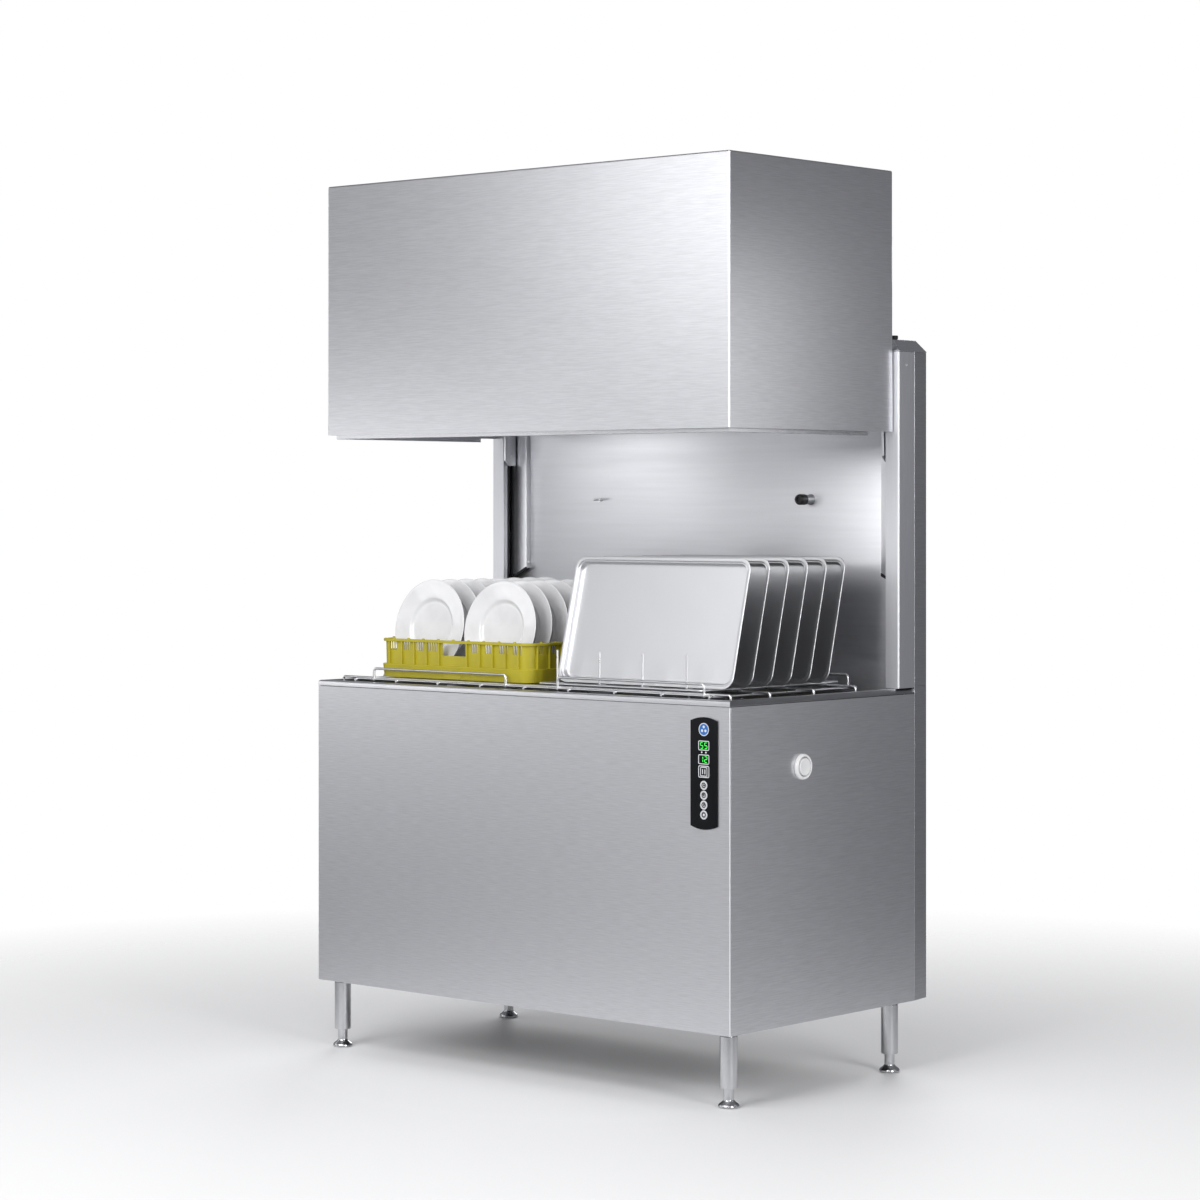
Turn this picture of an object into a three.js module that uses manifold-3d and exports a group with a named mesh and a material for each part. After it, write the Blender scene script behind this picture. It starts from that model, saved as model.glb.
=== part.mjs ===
// Extra-wide hood-type commercial dishwasher, drawn with its hood open.
// Millimetres, +Z up, +X to the right of someone at the front, +Y to the rear.
// The origin is on the floor, under the middle of the machine.
import * as THREE from 'three';
import { mergeVertices } from 'three/addons/utils/BufferGeometryUtils.js';
import Module from 'manifold-3d';

const wasm = await Module();
wasm.setup();

// ---------- driving dimensions ----------
const GAP = 0.3; // left between pieces that touch
const CLEAR = 0.5; // left between pieces that are fitted loosely
const SHEET = 2; // sheet steel of panels and covers
const OVERLAP = 1; // how far joined shapes run into each other

const HALF_WIDTH = 650;
const DEPTH = 750; // cabinet front to rear cover
const SIDE_DEPTH = 688; // front to the vertical ridge on each side
const REAR_INSET = 10; // how far the rear cover's corners turn in
const PANEL_BOTTOM = 165;
const FRAME_BAR = 20; // square bars of the base frame
const FRAME_TOP = PANEL_BOTTOM + FRAME_BAR;
const FOOT_INSET = 40; // foot's axis inside the cabinet's side
const FOOT_SETBACK = 45; // and behind its front
const DECK_TOP = 900;
const DECK_THICK = 14;
const DECK_LIP_SIDE = 24;
const DECK_LIP_REAR = 5.5;
const DECK_CHAMFER = 5;
const DECK_CHAMFER_DROP = 9;
const PANEL_TOP = DECK_TOP - DECK_THICK - GAP;

const WALL_Y = 680; // front face of the back wall
const WALL_HALF = 616;
const WALL_BOTTOM = 800;
const COLUMN_TOP = 1688;
const COLUMN_FRONT = 625;
const COLUMN_INNER = 612;
const CAP_TOP = 1717;
const RAIL_LOW = 889;
const RAIL_TOP = 1684;
const RAIL_BAR = 8; // closed ends of the rail's slot
const GUARD_FRONT = 665;
const GUARD_LOW = 1144;
const GUARD_INNER = 569;

const HOOD_HALF = 635;
const HOOD_FRONT = 17;
const HOOD_REAR = 622;
const HOOD_BOTTOM = 1500; // open
const HOOD_TOP = 2110; // open
const HOOD_SHEET = 1.5;
const HOOD_BACK_LOW = 1955; // lower edge of the hood's short back panel
const BAND_INSET = 17; // drip band inside the skirt
const BAND_DROP = 10;
const BAND_REAR = 560;

const RAIL_THICK = 8;
const SLOT_FRONT = 647;
const SLOT_REAR = 661;

const WIRE = 3; // radius of the rack track's wires
const RUNNER_Z = 908;
const RACK_FLOOR = RUNNER_Z + WIRE + GAP + 0.2;
const RACK_FRONT = 57;
const RACK_SIZE = 500;
const DISH_RACK_LEFT = -501;
const RACK_TOP = 1007.5;
const SKIRT_TOP = 944;

const PLATE_RADIUS = 115;
const PLATE_WELL_RADIUS = 66;
const PLATE_LEAN = THREE.MathUtils.degToRad(9);
const PLATE_ROWS = [-365, -132];
const PLATES_PER_ROW = 8;
const FIRST_PLATE = 96;
const PLATE_PITCH = 57;

const TRAY_WIDTH = 525;
const TRAY_HEIGHT = 300;
const TRAY_DEPTH = 18;
const TRAY_CORNER = 28;
const TRAY_LEAN = THREE.MathUtils.degToRad(14);
const TRAY_X = 324;
const FIRST_TRAY = 84;
const TRAY_PITCH = 70;
const TRAY_COUNT = 6;
const TRAY_LIFT = 6.6; // lower edge of each tray above the underside of its insert
const INSERT_LEFT = 28;
const PIN_X = [83, 213, 343, 473];
const PIN_TOP = 994;

const ARM_X = 270;
const ARM_Y = 307;
const ARM_REACH = 232;
const ARM_HALF = 17; // half the width of a spray arm
const HUB_RADIUS = 26;
const POST_TOP = 862;
const UPPER_HUB_TOP = 2060;
const PIPE_Z = 2078;
const PIPE_RADIUS = 13;

const SHAFT_Y = 712;
const SHAFT_Z = 830;
const IDLER_Z = 1650;
const WHEEL_RADIUS = 16;
const BELT_CLEAR = 0.4;
const BELT_THICK = 2.6;
const WHEEL_RIM = 20;
const WHEEL_IN = 617; // inner end of each belt wheel, from the middle of the machine
const WHEEL_OUT = 638.5;
const RIM_THICK = 1.5;

const PANEL_X = 578; // control panel centre
const PANEL_Z = 738;
const BUTTON_Y = 257;
const BUTTON_Z = 741;

// ---------- helpers ----------
// All helpers take y as the distance behind the cabinet front.
const SIDES = { left: -1, right: 1 };
const yy = (fromFront) => fromFront - DEPTH / 2;

function box(x0, x1, y0, y1, z0, z1) {
  const shape = new THREE.BoxGeometry(Math.abs(x1 - x0), y1 - y0, z1 - z0);
  return shape.translate((x0 + x1) / 2, yy((y0 + y1) / 2), (z0 + z1) / 2);
}

function cylinder(from, to, radius, sides = 16) {
  const start = new THREE.Vector3(from[0], yy(from[1]), from[2]);
  const end = new THREE.Vector3(to[0], yy(to[1]), to[2]);
  const along = end.clone().sub(start);
  const shape = new THREE.CylinderGeometry(radius, radius, along.length(), sides);
  const up = new THREE.Vector3(0, 1, 0);
  shape.applyQuaternion(new THREE.Quaternion().setFromUnitVectors(up, along.clone().normalize()));
  return shape.translate(...start.add(end).multiplyScalar(0.5).toArray());
}

function wire(points, radius = WIRE) {
  const rods = [];
  for (let i = 1; i < points.length; i += 1) rods.push(cylinder(points[i - 1], points[i], radius, 6));
  return rods;
}

function outline(points, holes = []) {
  const shape = new THREE.Shape(points.map(([u, v]) => new THREE.Vector2(u, v)));
  shape.holes = holes.map((hole) => new THREE.Path(hole.map(([u, v]) => new THREE.Vector2(u, v))));
  return shape;
}

function rectangle(u0, u1, v0, v1) {
  return [[u0, v0], [u1, v0], [u1, v1], [u0, v1]];
}

// A rectangle with round corners, centred on the origin.
function roundedRectangle(width, height, radius, steps = 4) {
  const points = [];
  const corners = [[1, -1, -90], [1, 1, 0], [-1, 1, 90], [-1, -1, 180]];
  for (const [sx, sy, start] of corners) {
    for (let i = 0; i <= steps; i += 1) {
      const angle = THREE.MathUtils.degToRad(start + (90 * i) / steps);
      const u = sx * (width / 2 - radius) + radius * Math.cos(angle);
      points.push([u, sy * (height / 2 - radius) + radius * Math.sin(angle)]);
    }
  }
  return points;
}

function extrudeZ(points, z0, z1, holes = []) {
  const flat = (list) => list.map(([x, y]) => [x, yy(y)]);
  const shape = outline(flat(points), holes.map(flat));
  return new THREE.ExtrudeGeometry(shape, { depth: z1 - z0, bevelEnabled: false }).translate(0, 0, z0);
}

// The outline holds [y, z] pairs and is pulled along X.
function extrudeX(points, x0, x1, holes = []) {
  const flat = (list) => list.map(([y, z]) => [yy(y), z]);
  const shape = outline(flat(points), holes.map(flat));
  const depth = Math.abs(x1 - x0);
  const solid = new THREE.ExtrudeGeometry(shape, { depth, bevelEnabled: false });
  const turn = new THREE.Matrix4().makeBasis(
    new THREE.Vector3(0, 1, 0),
    new THREE.Vector3(0, 0, 1),
    new THREE.Vector3(1, 0, 0),
  );
  return solid.applyMatrix4(turn).translate(Math.min(x0, x1), 0, 0);
}

// The outline holds [x, z] pairs and is pulled along Y.
function extrudeY(points, y0, y1, holes = []) {
  const solid = new THREE.ExtrudeGeometry(outline(points, holes), { depth: y1 - y0, bevelEnabled: false });
  return solid.rotateX(Math.PI / 2).translate(0, yy(y1), 0);
}

// A ring of [radius, height] points turned about an axis through the given point.
function turned(profile, at, axis, sides = 20) {
  const solid = new THREE.LatheGeometry(profile.map(([r, h]) => new THREE.Vector2(r, h)), sides);
  if (axis === 'x') solid.rotateZ(-Math.PI / 2);
  if (axis === 'z') solid.rotateX(Math.PI / 2);
  return solid.translate(at[0], yy(at[1]), at[2]);
}

// A solid through convex outlines with equal numbers of points, one at each height.
function loft(levels) {
  const count = levels[0].points.length;
  const area = THREE.ShapeUtils.area(levels[0].points.map(([x, y]) => ({ x, y })));
  const rings = levels.map(({ points }) => (area < 0 ? [...points].reverse() : points));
  const positions = rings.flatMap((ring, i) => ring.flatMap(([x, y]) => [x, yy(y), levels[i].z]));
  const index = [];
  for (let level = 0; level < rings.length - 1; level += 1) {
    for (let i = 0; i < count; i += 1) {
      const a = level * count + i;
      const b = level * count + ((i + 1) % count);
      index.push(a, b, b + count, a, b + count, a + count);
    }
  }
  const last = (rings.length - 1) * count;
  for (let i = 1; i < count - 1; i += 1) {
    index.push(0, i + 1, i, last, last + i, last + i + 1);
  }
  const solid = new THREE.BufferGeometry();
  solid.setAttribute('position', new THREE.Float32BufferAttribute(positions, 3));
  solid.setIndex(index);
  return solid;
}

function toManifold(geometry) {
  const bare = geometry.clone();
  bare.deleteAttribute('normal');
  bare.deleteAttribute('uv');
  const merged = mergeVertices(bare);
  const vertProperties = new Float32Array(merged.attributes.position.array);
  const triVerts = new Uint32Array(merged.index.array);
  return new wasm.Manifold(new wasm.Mesh({ numProp: 3, vertProperties, triVerts }));
}

function toGeometry(manifold) {
  const mesh = manifold.getMesh();
  const geometry = new THREE.BufferGeometry();
  geometry.setAttribute('position', new THREE.BufferAttribute(new Float32Array(mesh.vertProperties), 3));
  geometry.setIndex(new THREE.BufferAttribute(new Uint32Array(mesh.triVerts), 1));
  geometry.computeVertexNormals();
  return geometry;
}

function join(shapes) {
  return shapes.map(toManifold).reduce((whole, next) => whole.add(next));
}

function joined(shapes, cuts = []) {
  const solid = join(shapes);
  return toGeometry(cuts.length ? solid.subtract(join(cuts)) : solid);
}

// ---------- materials ----------
const material = (color, roughness, metalness) => (
  new THREE.MeshStandardMaterial({ color, roughness, metalness })
);
const steel = (color, roughness = 0.35) => material(color, roughness, 0.9);
const plastic = (color, roughness = 0.5) => material(color, roughness, 0);
const finish = {
  brushed: steel(0xc4c6ca),
  column: steel(0xb4b6ba),
  cover: steel(0x84868c),
  tank: steel(0x9a9ca0, 0.3),
  wire: steel(0xd0d2d6, 0.2),
  frame: steel(0x8c8e92, 0.5),
  black: plastic(0x17181a),
  panel: plastic(0x222428, 0.3),
  key: plastic(0x8a8e96, 0.4),
  white: plastic(0xf0f0ee, 0.3),
  grey: plastic(0x6c7076),
  rack: plastic(0xb0a624),
  china: plastic(0xf6f6f8, 0.15),
  belt: plastic(0x202020, 0.8),
};

const machine = new THREE.Group();
function add(name, geometry, surface) {
  const mesh = new THREE.Mesh(geometry, surface);
  mesh.name = name;
  machine.add(mesh);
  return mesh;
}

// ---------- base ----------
function baseFrame() {
  const outer = HALF_WIDTH - SHEET - CLEAR;
  const front = SHEET + CLEAR;
  const rear = SIDE_DEPTH - 3;
  const post = 12;
  const bars = [
    box(-outer, outer, front, front + FRAME_BAR, PANEL_BOTTOM, FRAME_TOP),
    box(-outer, outer, rear - FRAME_BAR, rear, PANEL_BOTTOM, FRAME_TOP),
  ];
  for (const x of [-outer, -FRAME_BAR / 2, outer - FRAME_BAR]) {
    bars.push(box(x, x + FRAME_BAR, front, rear, PANEL_BOTTOM, FRAME_TOP));
  }
  for (const side of Object.values(SIDES)) {
    for (const y of [front, rear - post]) {
      bars.push(box(side * (outer - post), side * outer, y, y + post, FRAME_TOP - OVERLAP, PANEL_TOP));
    }
  }
  return joined(bars);
}

function foot(side, y) {
  const top = PANEL_BOTTOM - GAP;
  const pad = 24;
  const stem = 12;
  const leg = 20;
  const legLow = 44;
  const profile = [
    [0, 0], [pad, 0], [pad, 6], [stem, 14], [stem, legLow], [leg, legLow], [leg, top], [0, top],
  ];
  return turned(profile, [side * (HALF_WIDTH - FOOT_INSET), y, 0], 'z', 16);
}

// ---------- cabinet ----------
function deckFrame() {
  const bottom = DECK_TOP - DECK_THICK;
  const hole = rectangle(
    -HALF_WIDTH + DECK_LIP_SIDE,
    HALF_WIDTH - DECK_LIP_SIDE,
    DECK_LIP_SIDE,
    SIDE_DEPTH - DECK_LIP_REAR,
  );
  const low = rectangle(-HALF_WIDTH, HALF_WIDTH, 0, SIDE_DEPTH);
  const high = rectangle(
    -HALF_WIDTH + DECK_CHAMFER,
    HALF_WIDTH - DECK_CHAMFER,
    DECK_CHAMFER,
    SIDE_DEPTH,
  );
  const slab = loft([
    { points: low, z: bottom },
    { points: low, z: DECK_TOP - DECK_CHAMFER_DROP },
    { points: high, z: DECK_TOP },
  ]);
  return joined([slab], [extrudeZ(hole, bottom - OVERLAP, DECK_TOP + OVERLAP)]);
}

// A tank whose walls slope in below the knee, with the posts of the two lower spray arms.
function washTank() {
  const wall = 2.5;
  const knee = 790;
  const bottom = 520;
  const rear = WALL_Y - GAP;
  const shell = (inset, floor) => loft([
    { points: rectangle(-540 + inset, 540 - inset, 120 + inset, 600 - inset), z: bottom + floor },
    { points: rectangle(-621 + inset, 621 - inset, 32 + inset, rear - inset), z: knee },
    { points: rectangle(-625 + inset, 625 - inset, 26 + inset, rear - inset), z: PANEL_TOP + floor },
  ]);
  const post = 20;
  const posts = Object.values(SIDES).map((side) => (
    cylinder([side * ARM_X, ARM_Y, bottom + OVERLAP], [side * ARM_X, ARM_Y, POST_TOP], post)
  ));
  const hollow = join([shell(0, 0)]).subtract(join([shell(wall, wall)]));
  return toGeometry(hollow.add(join(posts)));
}

function sidePanel(side) {
  const inner = side * (HALF_WIDTH - SHEET);
  return box(inner, side * HALF_WIDTH, SHEET + GAP, SIDE_DEPTH, PANEL_BOTTOM, PANEL_TOP);
}

function rearCover(z0, z1) {
  const start = SIDE_DEPTH + GAP;
  const back = HALF_WIDTH - REAR_INSET;
  const inside = HALF_WIDTH - SHEET;
  const points = [
    [-HALF_WIDTH, start],
    [-inside, start],
    [-back + SHEET, DEPTH - SHEET],
    [back - SHEET, DEPTH - SHEET],
    [inside, start],
    [HALF_WIDTH, start],
    [back, DEPTH],
    [-back, DEPTH],
  ];
  return extrudeZ(points, z0, z1);
}

function backWall() {
  const flange = 20;
  return joined([
    box(-WALL_HALF, WALL_HALF, WALL_Y, WALL_Y + SHEET, WALL_BOTTOM, COLUMN_TOP),
    box(-WALL_HALF, WALL_HALF, WALL_Y, WALL_Y + flange, COLUMN_TOP - SHEET, COLUMN_TOP),
  ]);
}

function column(side) {
  const points = [
    [COLUMN_INNER, COLUMN_FRONT],
    [HALF_WIDTH, COLUMN_FRONT],
    [HALF_WIDTH, SIDE_DEPTH],
    [HALF_WIDTH - SHEET, SIDE_DEPTH],
    [HALF_WIDTH - SHEET, COLUMN_FRONT + SHEET],
    [COLUMN_INNER, COLUMN_FRONT + SHEET],
  ];
  return extrudeZ(points.map(([x, y]) => [side * x, y]), DECK_TOP + GAP, COLUMN_TOP);
}

// A roof whose faces rise from the column's edges to a flat crest, with a plug in its front corner.
function columnCap(side) {
  const slope = 15; // run of the front face
  const hip = 22; // run of the outer face
  const rear = DEPTH - 23;
  const crestOuter = HALF_WIDTH - hip;
  const base = [
    [COLUMN_INNER, COLUMN_FRONT],
    [HALF_WIDTH, COLUMN_FRONT],
    [HALF_WIDTH, SIDE_DEPTH],
    [HALF_WIDTH - REAR_INSET, DEPTH],
    [COLUMN_INNER, DEPTH],
  ];
  const crest = [
    [COLUMN_INNER, COLUMN_FRONT + slope],
    [crestOuter, COLUMN_FRONT + slope],
    [crestOuter, SIDE_DEPTH - 13],
    [crestOuter - 3, rear],
    [COLUMN_INNER, rear],
  ];
  const mirrored = (points) => points.map(([x, y]) => [side * x, y]);
  const roof = loft([
    { points: mirrored(base), z: COLUMN_TOP + GAP },
    { points: mirrored(crest), z: CAP_TOP },
  ]);
  const x = side * (HALF_WIDTH - 30);
  const y = COLUMN_FRONT + 25;
  const plug = cylinder([x, y, CAP_TOP - OVERLAP], [x, y, CAP_TOP + 10], 6, 12);
  return joined([roof, plug]);
}

function rail(side) {
  const body = rectangle(COLUMN_FRONT + SHEET + GAP, WALL_Y - GAP, RAIL_LOW, RAIL_TOP);
  const slot = rectangle(SLOT_FRONT, SLOT_REAR, RAIL_LOW + RAIL_BAR, RAIL_TOP - RAIL_BAR);
  return extrudeX(body, side * COLUMN_INNER, side * (COLUMN_INNER + RAIL_THICK), [slot]);
}

// A bent strip beside the rail, its lower end cut on a slope that rises towards the opening.
function splashGuard(side) {
  const outer = COLUMN_INNER - 1;
  const slope = 0.5;
  const cornerLow = GUARD_LOW + slope * (outer - GUARD_INNER);
  const face = [
    [side * outer, GUARD_LOW],
    [side * GUARD_INNER, cornerLow],
    [side * GUARD_INNER, RAIL_TOP],
    [side * outer, RAIL_TOP],
  ];
  const ordered = side > 0 ? [...face].reverse() : face;
  const fold = side * (GUARD_INNER + SHEET);
  return joined([
    extrudeY(ordered, GUARD_FRONT, GUARD_FRONT + SHEET),
    box(side * GUARD_INNER, fold, GUARD_FRONT, WALL_Y - GAP, cornerLow, RAIL_TOP),
  ]);
}

// A stub on the back wall with a cap over its end.
function feedPeg() {
  const cap = 13;
  const capLength = 24;
  const stub = 11.5;
  const length = 51;
  const end = length - GAP;
  const profile = [[0, 0], [cap, 0], [cap, capLength], [stub, capLength], [stub, end], [0, end]];
  return turned(profile, [350, WALL_Y - length, 1342], 'y', 20);
}

// ---------- rack track ----------
// Level runners on hooked ends, cross wires under them and low fences that keep the racks in line.
function rackTrack() {
  const end = COLUMN_INNER;
  const hook = 14;
  const fenceTop = 931;
  const crossEnd = 560;
  const crossPitch = 140;
  const crossZ = RUNNER_Z - 2 * WIRE + 1;
  const frontRow = 45;
  const rearRow = 574;
  const rods = [];
  for (const y of [50, 190, 350, 508]) {
    const low = RUNNER_Z - hook;
    rods.push(...wire([[-end, y, low], [-end, y, RUNNER_Z], [end, y, RUNNER_Z], [end, y, low]]));
  }
  for (let x = -crossEnd; x <= crossEnd; x += crossPitch) {
    rods.push(...wire([[x, 40, crossZ], [x, 580, crossZ]]));
  }
  const fenceLow = RUNNER_Z - 2 * WIRE;
  for (const y of [frontRow, rearRow]) {
    for (const [x0, x1] of [[-501, -63], [101, 540]]) {
      rods.push(...wire([[x0, y, fenceLow], [x0, y, fenceTop], [x1, y, fenceTop], [x1, y, fenceLow]]));
    }
    rods.push(...wire([[-crossEnd, y, RUNNER_Z - WIRE], [crossEnd, y, RUNNER_Z - WIRE]]));
  }
  return joined(rods);
}

// ---------- inside the tank and the cabinet ----------
// A sheet over the tank with a square basin and an opening for the spray arm's post on each side.
function strainer() {
  const top = 803;
  const halfWidth = 600;
  const plate = box(-halfWidth, halfWidth, 50, 660, top - 3, top);
  const basins = [];
  const cuts = [];
  const half = 75;
  const wall = 4;
  const low = 700;
  const middle = 520;
  const post = 24;
  for (const side of Object.values(SIDES)) {
    const x = side * ARM_X;
    const inner = half - wall;
    cuts.push(box(x - post, x + post, ARM_Y - post, ARM_Y + post, top - wall, top + wall));
    basins.push(box(x - half, x + half, middle - half, middle + half, low, top - OVERLAP));
    cuts.push(box(x - inner, x + inner, middle - inner, middle + inner, low + wall, top + wall));
  }
  return joined([plate, ...basins], cuts);
}

function tankHeater() {
  const z = 560;
  const reach = 420;
  const front = 200;
  const rear = 260;
  const rod = 6;
  return joined([
    ...wire([[-reach, front, z], [reach, front, z], [reach, rear, z], [-reach, rear, z]], rod),
    cylinder([-reach, front - rod, z], [-reach, rear + rod, z], rod, 8),
  ]);
}

const PUMP = { x: -330, y: 300, z: 330 }; // middle of its inlet

// A hollow volute with its inlet towards -X, its motor behind it, and a stand on the frame.
function pumpBody() {
  const inlet = 30;
  const volute = 92;
  const chamber = 80;
  const motor = 68;
  const profile = [
    [inlet, 0], [volute, 0], [volute, 64], [motor, 70], [motor, 240], [motor - 8, 250], [0, 250],
    [0, 60], [chamber, 60], [chamber, 10], [inlet, 10], [inlet, 0],
  ];
  const housing = turned(profile, [PUMP.x, PUMP.y, PUMP.z], 'x', 24);
  const stand = box(PUMP.x + 90, PUMP.x + 220, PUMP.y - 50, PUMP.y + 50, FRAME_TOP + 1, PUMP.z - 55);
  return joined([housing, stand]);
}

function pumpImpeller() {
  const hub = 14;
  const disc = 72;
  const front = 14;
  const rear = 54;
  const profile = [[0, front], [hub, front], [hub, 44], [disc, 48], [disc, rear], [0, rear]];
  const wheel = turned(profile, [PUMP.x, PUMP.y, PUMP.z], 'x', 24);
  const blades = [];
  const count = 3; // each reaches across the hub to both sides
  for (let i = 0; i < count; i += 1) {
    const blade = new THREE.BoxGeometry(24, 4, 124);
    blade.translate(PUMP.x + 37, 0, 0).rotateX((i * Math.PI) / count);
    blades.push(blade.translate(0, yy(PUMP.y), PUMP.z));
  }
  return joined([wheel, ...blades]);
}

// A hollow drum with chamfered ends, open through a spigot at its left end.
function boiler() {
  const radius = 100;
  const length = 500;
  const chamfer = 20;
  const wall = 3;
  const spigot = 12;
  const inner = radius - wall;
  const face = radius - chamfer;
  const profile = [
    [spigot, 0], [face, 0], [radius, chamfer], [radius, length - chamfer], [face, length], [0, length],
    [0, length - wall], [face - 1, length - wall], [inner, length - chamfer - 1],
    [inner, chamfer + 1], [face - 1, wall], [spigot, wall], [spigot, 0],
  ];
  const shell = turned(profile, [60, 480, 320], 'x', 24);
  const feet = [140, 460].map((x) => box(x, x + 30, 400, 560, FRAME_TOP + 1, 260));
  return joined([shell, ...feet]);
}

// Sheet box for the controls, open at its back.
function controlBox() {
  const floor = FRAME_TOP + 1;
  const top = 500;
  const [left, right, front, rear] = [320, 600, 40, 180];
  const t = SHEET;
  return joined(
    [box(left, right, front, rear, floor, top)],
    [box(left + t, right - t, front + t, rear + 10, floor + t, top - t)],
  );
}

function lowerArm(side) {
  const x = side * ARM_X;
  return joined([
    box(x - ARM_REACH, x + ARM_REACH, ARM_Y - ARM_HALF, ARM_Y + ARM_HALF, POST_TOP + 4, POST_TOP + 20),
    cylinder([x, ARM_Y, POST_TOP + GAP], [x, ARM_Y, POST_TOP + 25], HUB_RADIUS, 20),
  ]);
}

function upperArm(side) {
  const x = side * ARM_X;
  const low = UPPER_HUB_TOP - 24;
  return joined([
    box(x - ARM_REACH, x + ARM_REACH, ARM_Y - ARM_HALF, ARM_Y + ARM_HALF, low + 4, low + 20),
    cylinder([x, ARM_Y, low], [x, ARM_Y, UPPER_HUB_TOP], HUB_RADIUS, 20),
  ]);
}

// ---------- hood lift ----------
// A belt wheel's outline as [radius, x] points, from its inner end out.
function wheelOutline() {
  return [
    [WHEEL_RIM, WHEEL_IN],
    [WHEEL_RIM, WHEEL_IN + RIM_THICK],
    [WHEEL_RADIUS, WHEEL_IN + RIM_THICK],
    [WHEEL_RADIUS, WHEEL_OUT - RIM_THICK],
    [WHEEL_RIM, WHEEL_OUT - RIM_THICK],
    [WHEEL_RIM, WHEEL_OUT],
  ];
}

const mirroredOutline = (points) => [...points].reverse().map(([radius, x]) => [radius, -x]);

function liftShaft() {
  const shaft = 8;
  const wheel = wheelOutline();
  const profile = [
    [0, -WHEEL_OUT],
    ...mirroredOutline(wheel),
    [shaft, -WHEEL_IN],
    [shaft, WHEEL_IN],
    ...wheel,
    [0, WHEEL_OUT],
  ];
  return turned(profile, [0, SHAFT_Y, SHAFT_Z], 'x', 16);
}

function idler(side) {
  const axle = 5;
  const start = WHEEL_IN - 6;
  const profile = [[0, start], [axle, start], [axle, WHEEL_IN], ...wheelOutline(), [0, WHEEL_OUT]];
  const points = side > 0 ? profile : mirroredOutline(profile);
  return turned(points, [0, SHAFT_Y, IDLER_Z], 'x', 16);
}

// Points of a stadium round both wheels, as [y, z].
function stadium(radius) {
  const points = [];
  const steps = 10;
  for (let i = 0; i <= steps; i += 1) {
    const angle = (Math.PI * i) / steps;
    points.push([SHAFT_Y + radius * Math.cos(angle), IDLER_Z + radius * Math.sin(angle)]);
  }
  for (let i = 0; i <= steps; i += 1) {
    const angle = Math.PI + (Math.PI * i) / steps;
    points.push([SHAFT_Y + radius * Math.cos(angle), SHAFT_Z + radius * Math.sin(angle)]);
  }
  return points;
}

function liftBelt(side) {
  const inner = WHEEL_RADIUS + BELT_CLEAR;
  const from = side * (WHEEL_IN + RIM_THICK + GAP);
  const to = side * (WHEEL_OUT - RIM_THICK - GAP);
  return extrudeX(stadium(inner + BELT_THICK), from, to, [stadium(inner)]);
}

// A gearbox round the shaft with its motor hanging below it.
function liftMotor() {
  const half = 45;
  const low = 800;
  const motorY = 719;
  const bore = 9;
  return joined(
    [box(-half, half, 694, 746, low, 862), cylinder([0, motorY, 640], [0, motorY, low + OVERLAP], 23, 20)],
    [cylinder([-half - 5, SHAFT_Y, SHAFT_Z], [half + 5, SHAFT_Y, SHAFT_Z], bore, 20)],
  );
}

// ---------- hood ----------
// A shell open below and at the rear of its skirt, with a drip band hung inside the lower edge.
function hood() {
  const edge = HOOD_HALF;
  const t = HOOD_SHEET;
  const lap = 18; // skirt folded round the rear corners
  const skirt = [
    [-edge, HOOD_FRONT],
    [edge, HOOD_FRONT],
    [edge, HOOD_REAR],
    [edge - lap, HOOD_REAR],
    [edge - lap, HOOD_REAR - t],
    [edge - t, HOOD_REAR - t],
    [edge - t, HOOD_FRONT + t],
    [-edge + t, HOOD_FRONT + t],
    [-edge + t, HOOD_REAR - t],
    [-edge + lap, HOOD_REAR - t],
    [-edge + lap, HOOD_REAR],
    [-edge, HOOD_REAR],
  ];
  // A strip along both sides and the front, between two distances inside the skirt.
  const strip = (from, to) => [
    [-edge + from, HOOD_FRONT + from], [edge - from, HOOD_FRONT + from],
    [edge - from, BAND_REAR], [edge - to, BAND_REAR],
    [edge - to, HOOD_FRONT + to], [-edge + to, HOOD_FRONT + to],
    [-edge + to, BAND_REAR], [-edge + from, BAND_REAR],
  ];
  const shelfLow = HOOD_BOTTOM + 3;
  return joined([
    extrudeZ(skirt, HOOD_BOTTOM, HOOD_TOP),
    box(-edge, edge, HOOD_FRONT, HOOD_REAR, HOOD_TOP - t, HOOD_TOP),
    box(-edge + 1, edge - 1, HOOD_REAR - t, HOOD_REAR, HOOD_BACK_LOW, HOOD_TOP - 1),
    extrudeZ(strip(BAND_INSET, BAND_INSET + t), HOOD_BOTTOM - BAND_DROP, HOOD_BOTTOM + 40),
    extrudeZ(strip(1, BAND_INSET + 1), shelfLow, shelfLow + SHEET),
  ]);
}

// Plate on the hood's inside, with the tongue and block that ride in the column.
function hoodBracket(side) {
  const x = (value) => side * value;
  const low = 1430;
  const high = 1700;
  const front = 566;
  const rear = 661;
  const step = 622;
  const base = HOOD_BOTTOM + 6;
  const tongueTop = 1562;
  const plate = 602;
  const thick = 6;
  const tab = [
    [step, low + 14], [step + 14, low], [rear, low], [rear, high], [front, high], [front, base], [step, base],
  ];
  const blockRear = SHAFT_Y - WHEEL_RADIUS - BELT_CLEAR - BELT_THICK - GAP;
  const from = x(plate + thick - OVERLAP);
  return joined([
    extrudeX(tab, x(plate), x(plate + thick)),
    box(from, x(HOOD_HALF - HOOD_SHEET - GAP), 570, 612, base + 20, 1680),
    box(from, x(623), 650, 658, base, tongueTop),
    box(x(622), x(645), 640, blockRear, base, tongueTop),
  ]);
}

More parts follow.
